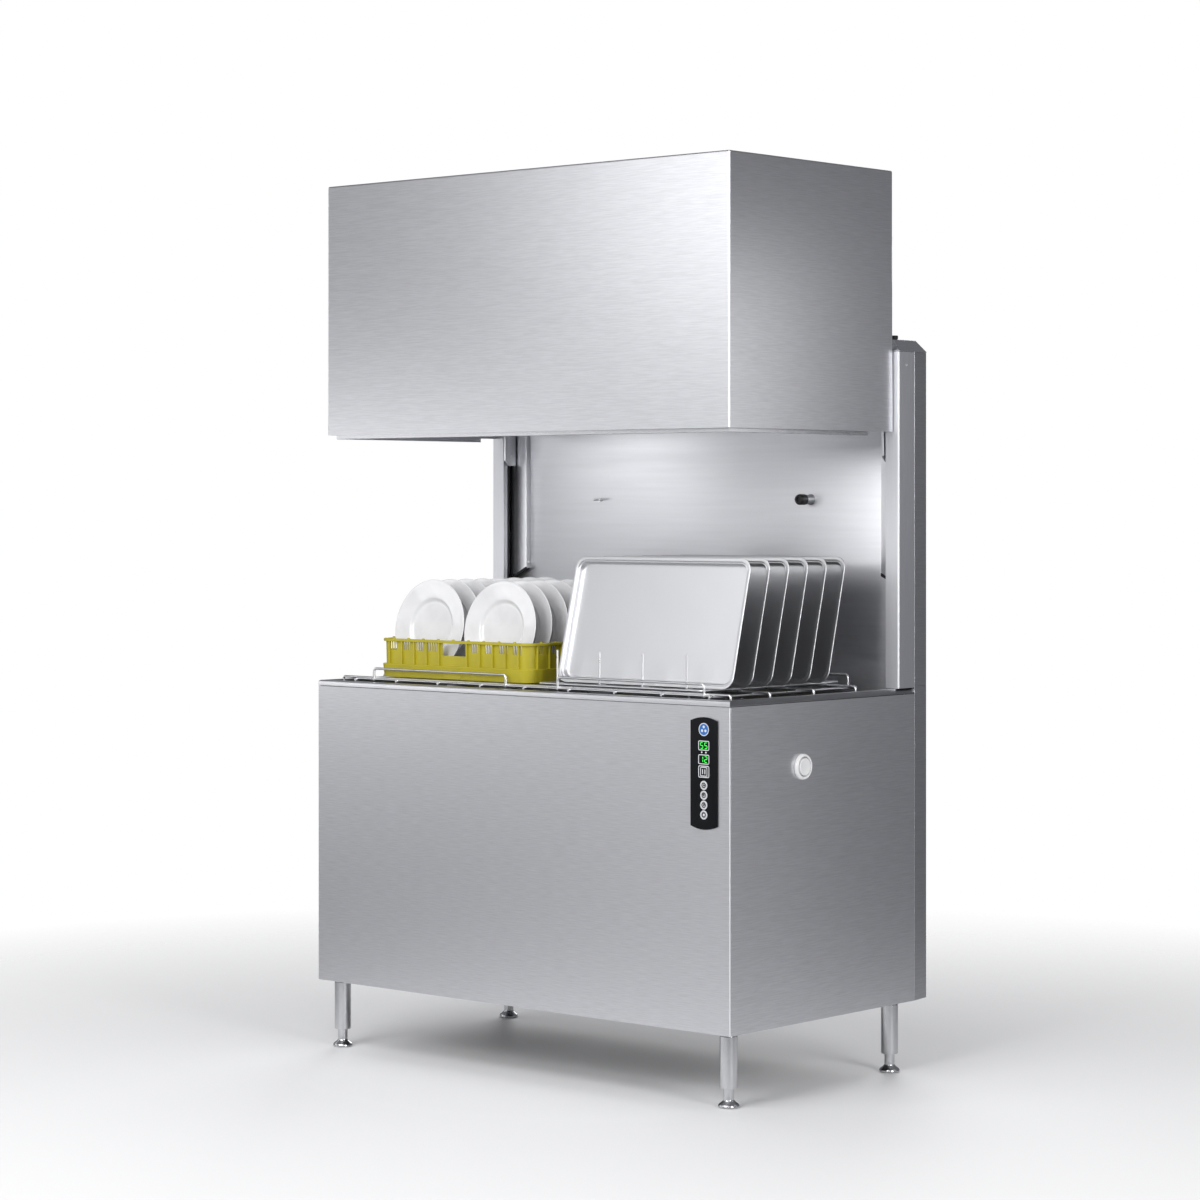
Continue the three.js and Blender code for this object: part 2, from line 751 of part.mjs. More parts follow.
// A pipe over both upper arms, a feed pipe down the rear, and hangers from the hood's top.
function upperManifold() {
  const z = PIPE_Z;
  const feedY = 590;
  const hanger = 15;
  const hangerX = 120;
  const ends = Object.values(SIDES).map((side) => (
    cylinder([side * ARM_X, ARM_Y, UPPER_HUB_TOP + GAP], [side * ARM_X, ARM_Y, z + PIPE_RADIUS], 16, 16)
  ));
  const hangers = Object.values(SIDES).map((side) => {
    const x = side * hangerX;
    return box(x - hanger, x + hanger, ARM_Y - 10, ARM_Y + 10, z, HOOD_TOP - HOOD_SHEET - GAP);
  });
  return joined([
    cylinder([-ARM_X, ARM_Y, z], [ARM_X, ARM_Y, z], PIPE_RADIUS, 12),
    cylinder([0, ARM_Y, z], [0, feedY, z], PIPE_RADIUS, 12),
    cylinder([0, feedY, z + 12], [0, feedY, 1990], PIPE_RADIUS, 12),
    ...ends,
    ...hangers,
  ]);
}

// ---------- controls ----------
const KEY_COUNT = 4;
const KEY_PITCH = 21.7;
const KEY_RADIUS = 8;
const KEY_X = PANEL_X + 1;
const FIRST_KEY_Z = PANEL_Z - 26;
const MENU_Z = PANEL_Z + 4;
const MENU_SIZE = 21;
const PANEL_THICK = 4;
const KEY_CLEAR = 0.8; // round each key in its hole
const KEY_FRONT = -PANEL_THICK - 0.4;
const KEY_REAR = -1.6;

// A plate with curved upper and lower edges and a hole for each key.
function controlPanel() {
  const half = 37.5;
  const shoulder = 116;
  const rise = 8;
  const steps = 8;
  const points = [];
  for (const end of [-1, 1]) {
    for (let i = 0; i <= steps; i += 1) {
      const across = -1 + (2 * i) / steps;
      const x = PANEL_X - end * across * half;
      points.push([x, PANEL_Z + end * (shoulder + rise * (1 - across * across))]);
    }
  }
  const holes = [];
  const sides = 20;
  const reach = KEY_RADIUS + KEY_CLEAR;
  for (let i = 0; i < KEY_COUNT; i += 1) {
    const ring = [];
    for (let k = 0; k < sides; k += 1) {
      const angle = (2 * Math.PI * k) / sides;
      ring.push([KEY_X + reach * Math.cos(angle), FIRST_KEY_Z - i * KEY_PITCH + reach * Math.sin(angle)]);
    }
    holes.push(ring);
  }
  const opening = MENU_SIZE / 2 + KEY_CLEAR;
  holes.push(rectangle(KEY_X - opening, KEY_X + opening, MENU_Z - opening, MENU_Z + opening));
  return extrudeY(points, -PANEL_THICK, -GAP, holes);
}

function roundKey(index) {
  const z = FIRST_KEY_Z - index * KEY_PITCH;
  return cylinder([KEY_X, KEY_FRONT, z], [KEY_X, KEY_REAR, z], KEY_RADIUS, 20);
}

function menuKey() {
  const half = MENU_SIZE / 2;
  return box(KEY_X - half, KEY_X + half, KEY_FRONT, KEY_REAR, MENU_Z - half, MENU_Z + half);
}

function buttonRing() {
  const x = HALF_WIDTH + GAP;
  const inner = 22.3;
  const outer = 29.5;
  const profile = [
    [inner, x], [outer, x], [outer, x + 5], [outer - 2.5, x + 9],
    [inner + 1.7, x + 9], [inner, x + 7], [inner, x],
  ];
  return turned(profile, [0, BUTTON_Y, BUTTON_Z], 'x', 24);
}

function startButton() {
  const x = HALF_WIDTH + 4;
  const radius = 21.4;
  const profile = [[0, x], [radius, x], [radius, x + 5], [radius - 1.9, x + 7], [0, x + 7]];
  return turned(profile, [0, BUTTON_Y, BUTTON_Z], 'x', 24);
}

// ---------- load ----------
// A square rack: open grid floor, skirt, walls with rows of windows and a hand hole in each, and a rim.
function dishRack() {
  const [middleX, middleY] = [DISH_RACK_LEFT + RACK_SIZE / 2, RACK_FRONT + RACK_SIZE / 2];
  const ring = (size, radius) => (
    roundedRectangle(size, size, radius, 3).map(([x, y]) => [x + middleX, y + middleY])
  );
  const wall = 3;
  const body = RACK_SIZE - 8;
  const hollow = ring(body - 2 * wall, 23);
  const skirt = extrudeZ(ring(RACK_SIZE, 30), RACK_FLOOR, SKIRT_TOP, [ring(RACK_SIZE - 10, 25)]);
  const upper = extrudeZ(ring(body, 26), RACK_FLOOR, RACK_TOP, [hollow]);
  const rim = extrudeZ(ring(body + 4, 28), RACK_TOP - 8, RACK_TOP, [hollow]);
  const cell = 90;
  const bar = 6;
  const floorThick = 5;
  const sunk = 0.7; // crossing bars are this much thinner on each face
  const reach = body / 2 - 2;
  const floor = [];
  for (const step of [-2.5, -1.5, -0.5, 0.5, 1.5, 2.5]) {
    const x = middleX + step * cell;
    const y = middleY + step * cell;
    const top = RACK_FLOOR + floorThick;
    floor.push(box(x - bar, x + bar, middleY - reach, middleY + reach, RACK_FLOOR, top));
    floor.push(box(middleX - reach, middleX + reach, y - bar, y + bar, RACK_FLOOR + sunk, top - sunk));
  }
  const cuts = [];
  const windowHigh = RACK_TOP - 9;
  const past = RACK_SIZE / 2 + 20; // cutters run out beyond both walls
  const cutBoth = (offset, half, low) => {
    const x = middleX + offset;
    const y = middleY + offset;
    cuts.push(box(x - half, x + half, middleY - past, middleY + past, low, windowHigh));
    cuts.push(box(middleX - past, middleX + past, y - half, y + half, low, windowHigh));
  };
  const window = 13;
  const hand = 42;
  for (const offset of [-205, -160, -115, -70, 70, 115, 160, 205]) cutBoth(offset, window, 978);
  cutBoth(0, hand, 968);
  return joined([skirt, upper, rim, ...floor], cuts);
}

const PEG_TOP = 930;
const PLATE_FOOT = RACK_FLOOR + 5 + 2.5;

// Plates in two rows, joined at the foot by the peg strips that hold them.
function plates() {
  const strips = [];
  const first = FIRST_PLATE - 10;
  const last = FIRST_PLATE + (PLATES_PER_ROW - 1) * PLATE_PITCH + 30;
  const floor = RACK_FLOOR + 5 + GAP;
  const half = 10;
  for (const x of PLATE_ROWS) strips.push(box(x - half, x + half, first, last, floor, PEG_TOP));
  strips.push(box(PLATE_ROWS[0], PLATE_ROWS[1], 300, 312, floor, PEG_TOP - 4));
  const thick = 3;
  const rise = 14; // of the rim above the well
  for (const x of PLATE_ROWS) {
    for (let i = 0; i < PLATES_PER_ROW; i += 1) {
      const profile = [
        [0, 0], [PLATE_WELL_RADIUS, 0], [PLATE_RADIUS, rise],
        [PLATE_RADIUS, rise + thick], [PLATE_WELL_RADIUS, thick], [0, thick],
      ];
      const plate = new THREE.LatheGeometry(profile.map(([r, h]) => new THREE.Vector2(r, h)), 16);
      plate.rotateX(Math.PI).translate(0, 0, PLATE_RADIUS).rotateX(-PLATE_LEAN);
      plate.translate(x, yy(FIRST_PLATE + i * PLATE_PITCH), PLATE_FOOT);
      strips.push(plate);
    }
  }
  return joined(strips);
}

// A wire frame with rows of upright pins that the trays lean on.
function trayInsert() {
  const left = INSERT_LEFT;
  const right = left + RACK_SIZE;
  const front = RACK_FRONT + 2;
  const rear = RACK_FRONT + RACK_SIZE - 2;
  const z = RACK_FLOOR + WIRE;
  const cross = 2.4;
  const pin = 2.2;
  const beforeTray = 20; // each row of pins stands this far in front of a tray's foot
  const rods = [
    ...wire([[left, front, z], [right, front, z]]),
    ...wire([[left, rear, z], [right, rear, z]]),
    ...wire([[left, front - WIRE, z], [left, rear + WIRE, z]]),
    ...wire([[right, front - WIRE, z], [right, rear + WIRE, z]]),
  ];
  for (const x of PIN_X) rods.push(...wire([[x, front, z], [x, rear, z]]));
  for (let row = 0; row <= TRAY_COUNT; row += 1) {
    const y = FIRST_TRAY - beforeTray + row * TRAY_PITCH;
    rods.push(...wire([[PIN_X[0], y, z], [PIN_X[PIN_X.length - 1], y, z]], cross));
    for (const x of PIN_X) rods.push(...wire([[x, y, z], [x, y, PIN_TOP]], pin));
  }
  return joined(rods);
}

// A pan lying face up, its flange's upper face at z = 0.
function tray() {
  const flat = (inset, radius) => (
    roundedRectangle(TRAY_WIDTH - 2 * inset, TRAY_HEIGHT - 2 * inset, radius)
  );
  const slab = (points, depth, from) => (
    new THREE.ExtrudeGeometry(outline(points), { depth, bevelEnabled: false }).translate(0, 0, from)
  );
  const sheet = 1.6;
  const brim = 9;
  const flange = slab(flat(0, TRAY_CORNER), sheet, -sheet);
  const pan = slab(flat(brim, TRAY_CORNER - 8), TRAY_DEPTH, -TRAY_DEPTH);
  const inside = slab(flat(brim + sheet, TRAY_CORNER - 9), TRAY_DEPTH + 2, -TRAY_DEPTH + sheet);
  return joined([flange, pan], [inside]);
}

// ---------- the machine ----------
add('base_frame', baseFrame(), finish.frame);
for (const [name, side] of Object.entries(SIDES)) {
  add(`foot_front_${name}`, foot(side, FOOT_SETBACK), finish.frame);
  add(`foot_rear_${name}`, foot(side, SIDE_DEPTH - FOOT_SETBACK), finish.frame);
}
add('deck_frame', deckFrame(), finish.brushed);
add('wash_tank', washTank(), finish.tank);
add('front_panel', box(-HALF_WIDTH, HALF_WIDTH, 0, SHEET, PANEL_BOTTOM, PANEL_TOP), finish.brushed);
add('rear_cover_lower', rearCover(PANEL_BOTTOM, DECK_TOP + 3), finish.cover);
add('rear_cover_upper', rearCover(DECK_TOP + 6, COLUMN_TOP), finish.cover);
add('back_wall', backWall(), finish.brushed);
for (const [name, side] of Object.entries(SIDES)) {
  add(`side_panel_${name}`, sidePanel(side), finish.brushed);
  add(`column_${name}`, column(side), finish.column);
  add(`column_cap_${name}`, columnCap(side), finish.brushed);
  add(`rail_${name}`, rail(side), finish.black);
  add(`splash_guard_${name}`, splashGuard(side), finish.column);
}
add('feed_peg', feedPeg(), finish.black);
add('rack_track', rackTrack(), finish.wire);

add('tank_strainer', strainer(), finish.tank);
add('tank_heater', tankHeater(), finish.frame);
add('pump_body', pumpBody(), finish.grey);
add('pump_impeller', pumpImpeller(), finish.grey);
add('rinse_boiler', boiler(), finish.tank);
add('control_box', controlBox(), finish.grey);

add('lift_motor', liftMotor(), finish.grey);
add('lift_shaft', liftShaft(), finish.frame);
for (const [name, side] of Object.entries(SIDES)) {
  add(`lift_belt_${name}`, liftBelt(side), finish.belt);
  add(`lift_idler_${name}`, idler(side), finish.frame);
  add(`lower_arm_${name}`, lowerArm(side), finish.tank);
  add(`upper_arm_${name}`, upperArm(side), finish.tank);
  add(`hood_bracket_${name}`, hoodBracket(side), finish.column);
}
add('hood', hood(), finish.brushed);
add('upper_manifold', upperManifold(), finish.tank);

add('control_panel', controlPanel(), finish.panel);
for (let i = 0; i < KEY_COUNT; i += 1) add(`round_key_${i + 1}`, roundKey(i), finish.key);
add('menu_key', menuKey(), finish.key);
add('button_ring', buttonRing(), finish.white);
add('start_button', startButton(), finish.white);

add('dish_rack', dishRack(), finish.rack);
add('plates', plates(), finish.china);
add('tray_insert', trayInsert(), finish.wire);
for (let i = 0; i < TRAY_COUNT; i += 1) {
  const one = add(`tray_${i + 1}`, tray(), finish.tank);
  const leaning = Math.PI / 2 - TRAY_LEAN;
  one.rotation.x = leaning;
  const half = TRAY_HEIGHT / 2;
  one.position.set(
    TRAY_X,
    yy(FIRST_TRAY + i * TRAY_PITCH) + half * Math.sin(TRAY_LEAN),
    RACK_FLOOR + TRAY_LIFT + half * Math.cos(TRAY_LEAN),
  );
}

export default machine;
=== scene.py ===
"""Looks of an extra-wide hood-type commercial dishwasher, drawn with its hood open and racks on its track."""

import math

import bmesh
import bpy
from mathutils import Matrix, Vector


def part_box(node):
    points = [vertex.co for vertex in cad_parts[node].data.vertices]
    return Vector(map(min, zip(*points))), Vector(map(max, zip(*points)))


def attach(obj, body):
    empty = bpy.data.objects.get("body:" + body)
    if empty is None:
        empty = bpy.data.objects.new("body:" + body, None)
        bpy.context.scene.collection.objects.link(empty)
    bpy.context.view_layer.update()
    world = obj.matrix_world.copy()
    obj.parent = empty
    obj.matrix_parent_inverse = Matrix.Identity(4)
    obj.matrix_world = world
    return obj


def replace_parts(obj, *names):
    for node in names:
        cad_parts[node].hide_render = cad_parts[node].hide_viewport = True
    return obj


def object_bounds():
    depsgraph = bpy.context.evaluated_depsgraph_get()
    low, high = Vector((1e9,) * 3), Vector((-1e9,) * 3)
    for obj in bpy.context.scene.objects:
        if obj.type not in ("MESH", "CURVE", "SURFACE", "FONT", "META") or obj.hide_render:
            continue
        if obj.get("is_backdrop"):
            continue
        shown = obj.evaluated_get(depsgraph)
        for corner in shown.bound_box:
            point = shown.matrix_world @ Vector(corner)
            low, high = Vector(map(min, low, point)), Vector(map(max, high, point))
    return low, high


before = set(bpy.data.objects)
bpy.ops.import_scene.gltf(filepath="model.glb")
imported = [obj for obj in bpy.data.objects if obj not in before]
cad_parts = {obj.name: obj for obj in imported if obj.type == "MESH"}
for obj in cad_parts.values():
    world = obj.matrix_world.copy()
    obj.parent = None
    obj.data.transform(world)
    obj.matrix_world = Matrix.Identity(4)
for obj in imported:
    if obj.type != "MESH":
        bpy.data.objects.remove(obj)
CAD_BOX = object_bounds()
CAD_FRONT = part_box("front_panel")[0].y
ARM_X, ARM_Y = (sum(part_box("lower_arm_right"), Vector()) / 2).xy

MM = 0.001
SIDES = {"left": -1, "right": 1}
SHEET = 1.5 * MM  # thickness of the visible sheets
FOLD = 4.5 * MM  # outer radius of their folded corners
SEAM = 0.4 * MM
HAIR = 0.02 * MM  # gap that keeps touching solids from sharing corners
UPRIGHT = Matrix.Identity(4)
TURN_TO_FRONT = Matrix.Rotation(math.pi / 2, 4, "X")  # local z points to the front
TURN_TO_REAR = TURN_TO_FRONT.inverted()
TURN_TO_SIDE = Matrix.Rotation(math.pi / 2, 4, "Y")  # local z points to +X


# ---------- places ----------
def move(x, y, z):
    return Matrix.Translation((x, y, z))


def turn_sideways(side):
    """Points local z to +X or -X."""
    return TURN_TO_SIDE if side > 0 else TURN_TO_SIDE.inverted()


def middle(node):
    low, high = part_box(node)
    return (low + high) / 2


def inner_outer(low, high, side):
    """The x of a node's face towards the machine's middle, and of the one away from it."""
    return (low.x, high.x) if side > 0 else (high.x, low.x)


def from_front(distance):
    """The y this many millimetres behind the front panel."""
    return CAD_FRONT + distance * MM


# ---------- shapes ----------
class Shape:
    """Points and faces that grow part by part."""

    def __init__(self, *parts):
        self.points = []
        self.faces = []
        for part in parts:
            self.add(part)

    def __iter__(self):
        return iter((self.points, self.faces))

    def add(self, part, place=UPRIGHT):
        points, faces = part
        start = len(self.points)
        self.points += [place @ Vector(point) for point in points]
        self.faces += [[start + i for i in face] for face in faces]
        return self


def rounded(points, radius, steps=5, closed=False):
    """The route through points, with each corner turned into an arc of about this radius."""
    corners = [Vector(point) for point in points]
    route = []
    for i, corner in enumerate(corners):
        if not closed and i in (0, len(corners) - 1):
            route.append(corner)
            continue
        before = corners[i - 1] - corner
        after = corners[(i + 1) % len(corners)] - corner
        reach = radius / math.tan(before.angle(after) / 2)
        reach = min(reach, before.length * 0.49, after.length * 0.49)
        start = corner + before.normalized() * reach
        end = corner + after.normalized() * reach
        for k in range(steps + 1):
            share = k / steps
            route.append(start.lerp(corner, share).lerp(corner.lerp(end, share), share))
    return route


def rings(levels, first=False, last=True, loop=False):
    """Skin over outlines with equal numbers of points: its ends filled or open, or joined in a loop."""
    count = len(levels[0])
    points = [point for level in levels for point in level]
    faces = []
    for level in range(len(levels) - (not loop)):
        start, end = level * count, (level + 1) % len(levels) * count
        for i in range(count):
            n = (i + 1) % count
            faces.append([start + i, start + n, end + n, end + i])
    if first:
        faces.append(list(range(count))[::-1])
    if last:
        faces.append([(len(levels) - 1) * count + i for i in range(count)])
    return points, faces


def tube(route, radius, sides=10):
    route = [Vector(point) for point in route]
    along = (route[1] - route[0]).normalized()
    side = along.orthogonal().normalized()
    levels = []
    for i, at in enumerate(route):
        ahead = (route[i + 1] - at).normalized() if i + 1 < len(route) else along
        along = (along + ahead).normalized()
        side = (side - along * side.dot(along)).normalized()
        up = along.cross(side)
        angles = [math.tau * k / sides for k in range(sides)]
        levels.append([at + (side * math.cos(angle) + up * math.sin(angle)) * radius for angle in angles])
        along = ahead
    return rings(levels, first=True)


def lathe(profile, steps=40, closed=False):
    """A profile of (radius, height) in millimetres, turned about Z."""
    points, circles, faces = [], [], []
    for radius, height in profile:
        count = steps if radius else 1
        circles.append([len(points) + k for k in range(count)])
        for k in range(count):
            angle = math.tau * k / steps
            points.append(Vector((radius * math.cos(angle), radius * math.sin(angle), height)) * MM)
    for low, high in zip(circles, circles[1:] + (circles[:1] if closed else [])):
        for k in range(steps):
            n = k + 1
            corners = [low[k % len(low)], low[n % len(low)], high[n % len(high)], high[k % len(high)]]
            face = list(dict.fromkeys(corners))
            if len(face) > 2:
                faces.append(face)
    return points, faces


def extruded(outline, low, high):
    return rings([[(x, y, z) for x, y in outline] for z in (low, high)], first=True)


def block(low, high):
    (x0, y0, z0), (x1, y1, z1) = low, high
    return extruded([(x0, y0), (x1, y0), (x1, y1), (x0, y1)], z0, z1)


def ribbon(path, low, high):
    """An upright sheet along a path that runs anticlockwise as seen from above."""
    points = [(x, y, z) for x, y in path for z in (low, high)]
    return points, ribbon_faces(len(path))


def ribbon_faces(count):
    return [[2 * i, 2 * i + 2, 2 * i + 3, 2 * i + 1] for i in range(count - 1)]


def pierced(us, vs, solid, at):
    """A sheet over the grid us by vs of the cells where solid(u, v) holds; at(u, v) places a point."""
    points = [at(u, v) for u in us for v in vs]
    faces = []
    for i in range(len(us) - 1):
        for j in range(len(vs) - 1):
            if solid((us[i] + us[i + 1]) / 2, (vs[j] + vs[j + 1]) / 2):
                a = i * len(vs) + j
                faces.append([a, a + len(vs), a + len(vs) + 1, a + 1])
    return points, faces


def round_rectangle(width, height, radius, steps=6):
    points = []
    for sx, sy, start in [(1, -1, -90), (1, 1, 0), (-1, 1, 90), (-1, -1, 180)]:
        for k in range(steps + 1):
            angle = math.radians(start + 90 * k / steps)
            x = sx * (width / 2 - radius) + radius * math.cos(angle)
            points.append((x, sy * (height / 2 - radius) + radius * math.sin(angle)))
    return points


def flat_ring(width, height, radius, line, depth):
    """A thin raised outline of a rounded rectangle, lying about the origin."""
    outer = round_rectangle(width, height, radius, 4)
    inner = round_rectangle(width - 2 * line, height - 2 * line, max(radius - line, 0.2 * MM), 4)
    section = (outer, 0), (outer, depth), (inner, depth), (inner, 0)
    return rings([[(x, y, z) for x, y in outline] for outline, z in section], last=False, loop=True)


def mitred_bars(profile, low, high, widths, bars=range(4)):
    """Bars round a rectangle that meet in mitres: profile holds (share of the bar's width, height)."""
    left, front, right, rear = widths

    def corner(index, share):
        x = low[0] + share * left if index in (0, 3) else high[0] - share * right
        y = low[1] + share * front if index in (0, 1) else high[1] - share * rear
        return Vector((x, y, 0))

    made = Shape()
    for start in bars:
        end = (start + 1) % 4
        along = (corner(end, 0) - corner(start, 0)).normalized() * SEAM / 2
        first = [corner(start, share) + along + Vector((0, 0, z)) for share, z in profile]
        last = [corner(end, share) - along + Vector((0, 0, z)) for share, z in profile]
        made.add(rings([first, last], first=True))
    return made


# ---------- pieces ----------
def to_mesh(name, shape, closed=True):
    mesh = bpy.data.meshes.new(name)
    mesh.from_pydata([tuple(point) for point in shape.points], [], shape.faces)
    grid = bmesh.new()
    grid.from_mesh(mesh)
    bmesh.ops.remove_doubles(grid, verts=grid.verts, dist=0.005 * MM)
    bmesh.ops.delete(grid, geom=[v for v in grid.verts if not v.link_faces], context="VERTS")
    if closed:
        bmesh.ops.recalc_face_normals(grid, faces=grid.faces)
    grid.to_mesh(mesh)
    grid.free()
    return mesh


def new_object(name, data):
    made = bpy.data.objects.new(name, data)
    bpy.context.scene.collection.objects.link(made)
    return made


def bevel(made, width, segments=3):
    edge = made.modifiers.new("bevel", "BEVEL")
    edge.width = width
    edge.segments = segments
    edge.limit_method = "ANGLE"
    edge.angle_limit = math.radians(35)
    edge.harden_normals = True


def thicken(made, thickness):
    """Turns a sheet into a wall that grows inwards."""
    wall = made.modifiers.new("wall", "SOLIDIFY")
    wall.thickness = thickness
    wall.offset = -1
    return wall


def smooth(mesh, angle):
    mesh.shade_smooth()
    mesh.set_sharp_from_angle(angle=math.radians(angle))


PIECES = []
SLOT_OF = {  # finishes whose slot has another name
    "top": "brushed", "side_lip": "brushed", "guide": "cover", "rubber": "black", "spray": "tank",
    "print": "button", "badge": "panel", "segment": "panel",
}


def piece(name, mesh, finish, body, stands_for=(), wall=0, edge=0, angle=40, slot=None):
    """A new object that rides on a body; wall thickens a sheet inwards, and edge rounds its edges."""
    if isinstance(mesh, Shape):
        mesh = to_mesh(name, mesh, closed=not wall)
    made = new_object(name, mesh)
    PIECES.append(made)
    if not mesh.materials:
        mesh.materials.append(look[finish])
        smooth(mesh, angle)
    if wall:
        thicken(made, wall).use_even_offset = True
    if edge:
        bevel(made, edge)
    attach(made, body)
    slot or SLOT_OF.get(finish, finish)
    if stands_for:
        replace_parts(made, *stands_for)
    return made


def settle(made, place, body):
    """Moves a piece to its place, from where it rides on its body."""
    made.parent = None
    made.matrix_world = place
    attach(made, body)


def shade_evenly():
    """Keeps the light on flat faces flat right up to their rounded edges."""
    for made in PIECES:
        made.modifiers.new("shading", "WEIGHTED_NORMAL").keep_sharp = True


def paint_fold_highlights(made):
    """Gives upright folds a lighter, rougher steel than the faces beside them: a painted highlight along each
    fold.
    """
    made.data.materials.append(look["fold"])
    for face in made.data.polygons:
        if min(abs(face.normal.x), abs(face.normal.y)) > 0.2:
            face.material_index = 1


def bake(made):
    """Applies the modifiers of an object to its mesh."""
    graph = bpy.context.evaluated_depsgraph_get()
    made.data = bpy.data.meshes.new_from_object(made.evaluated_get(graph))
    made.modifiers.clear()
    smooth(made.data, 30)


def cut(made, cutter):
    """Cuts a shape out of an object and keeps the result as its mesh."""
    tool = new_object("cutter", to_mesh("cutter", cutter))
    knife = made.modifiers.new("knife", "BOOLEAN")
    knife.operation = "DIFFERENCE"
    knife.object = tool
    bake(made)
    bpy.data.objects.remove(tool)


def dress(node, finish, edge=0.8 * MM):
    """Gives a CAD node its finish and rounds its edges."""
    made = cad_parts[node]
    made.data.materials.clear()
    made.data.materials.append(look[finish])
    smooth(made.data, 30)
    if edge:
        made.modifiers.new("weld", "WELD").merge_threshold = 0.02 * MM
        bevel(made, edge, 2)


# ---------- finishes ----------
def set_sockets(node, **values):
    """Sets a node's sockets by name, with _ for each space."""
    for socket, value in values.items():
        node.inputs[socket.replace("_", " ")].default_value = value
    return node


def add_node(made, kind, **values):
    return set_sockets(made.node_tree.nodes.new(f"ShaderNode{kind}"), **values)


def to_shader(made, value, socket):
    made.node_tree.links.new(value, made.node_tree.nodes["Principled BSDF"].inputs[socket])


def finish_of(name, color, roughness, metallic=0.0, **sockets):
    made = bpy.data.materials.new(name)
    made.use_nodes = True
    shader = made.node_tree.nodes["Principled BSDF"]
    set_sockets(shader, Base_Color=(*color, 1), Roughness=roughness, Metallic=metallic, **sockets)
    made.diffuse_color = (*color, 1)
    return made


def grain(made, stretch, detail=2.0):
    """Noise in the object's own space; stretch is its frequency per metre along x, y and z."""
    link = made.node_tree.links.new
    mapping = add_node(made, "Mapping", Scale=stretch)
    texture = add_node(made, "TexNoise", Scale=1, Detail=detail)
    link(add_node(made, "TexCoord").outputs["Object"], mapping.inputs["Vector"])
    link(mapping.outputs["Vector"], texture.inputs["Vector"])
    return texture.outputs["Fac"]


def spread(made, value, low, high):
    """Spreads the middle of a noise value over low to high."""
    scale = add_node(made, "MapRange", From_Min=0.3, From_Max=0.7, To_Min=low, To_Max=high)
    made.node_tree.links.new(value, scale.inputs["Value"])
    return scale.outputs["Result"]


def drive(made, value, socket, low, high):
    to_shader(made, spread(made, value, low, high), socket)


def tint(made, value, color, change):
    """Lets the color vary by this share to either side."""
    mix = add_node(made, "Mix")
    mix.data_type = "RGBA"
    set_sockets(mix, A=(*shaded(color, 1 - change), 1), B=(*shaded(color, 1 + change), 1))
    made.node_tree.links.new(spread(made, value, 0, 1), mix.inputs["Factor"])
    to_shader(made, mix.outputs["Result"], "Base Color")


def relief(made, value, distance, strength):
    bump = add_node(made, "Bump", Distance=distance, Strength=strength)
    made.node_tree.links.new(value, bump.inputs["Height"])
    to_shader(made, bump.outputs["Normal"], "Normal")


def shaded(color, share):
    return tuple(channel * share for channel in color)


BRUSH = (24, 24, 560)  # level brushing on upright faces
UPRIGHT_BRUSH = (1300, 1300, 16)


def brushed(name, color, roughness=0.34, stretch=BRUSH, contrast=0.07):
    """Brushed stainless steel: fine streaks in tone and gloss over a slow cloudy change."""
    made = finish_of(name, color, roughness, 1.0)
    streaks = grain(made, stretch, 3)
    tint(made, streaks, color, contrast)
    gloss = grain(made, [axis * 0.45 for axis in stretch])
    drive(made, gloss, "Roughness", roughness - 0.015, roughness + 0.015)
    relief(made, streaks, 0.004 * MM, 0.4)
    return made


def plain_metal(name, color, roughness, cloud=0.05, uneven=0.03):
    """Smooth or cast metal with slow variation in tone and in gloss."""
    made = finish_of(name, color, roughness, 1.0)
    tint(made, grain(made, (9, 9, 9), 3), color, cloud)
    drive(made, grain(made, (60, 60, 60), 3), "Roughness", roughness - uneven, roughness + uneven)
    return made


def moulded(name, color, roughness, pebble=500, depth=0.03 * MM, **sockets):
    """Moulded plastic or rubber with a fine pebble and a slight change of tone."""
    made = finish_of(name, color, roughness, **sockets)
    tint(made, grain(made, (18, 18, 18)), color, 0.06)
    drive(made, grain(made, (90, 90, 90)), "Roughness", roughness - 0.04, roughness + 0.05)
    relief(made, grain(made, (pebble, pebble, pebble), 1), depth, 0.5)
    return made


def lit(name, color, strength):
    """A lit display segment."""
    made = finish_of(name, color, 0.4, Emission_Color=(*color, 1), Emission_Strength=strength)
    drive(made, grain(made, (800, 800, 800), 1), "Roughness", 0.3, 0.45)
    return made


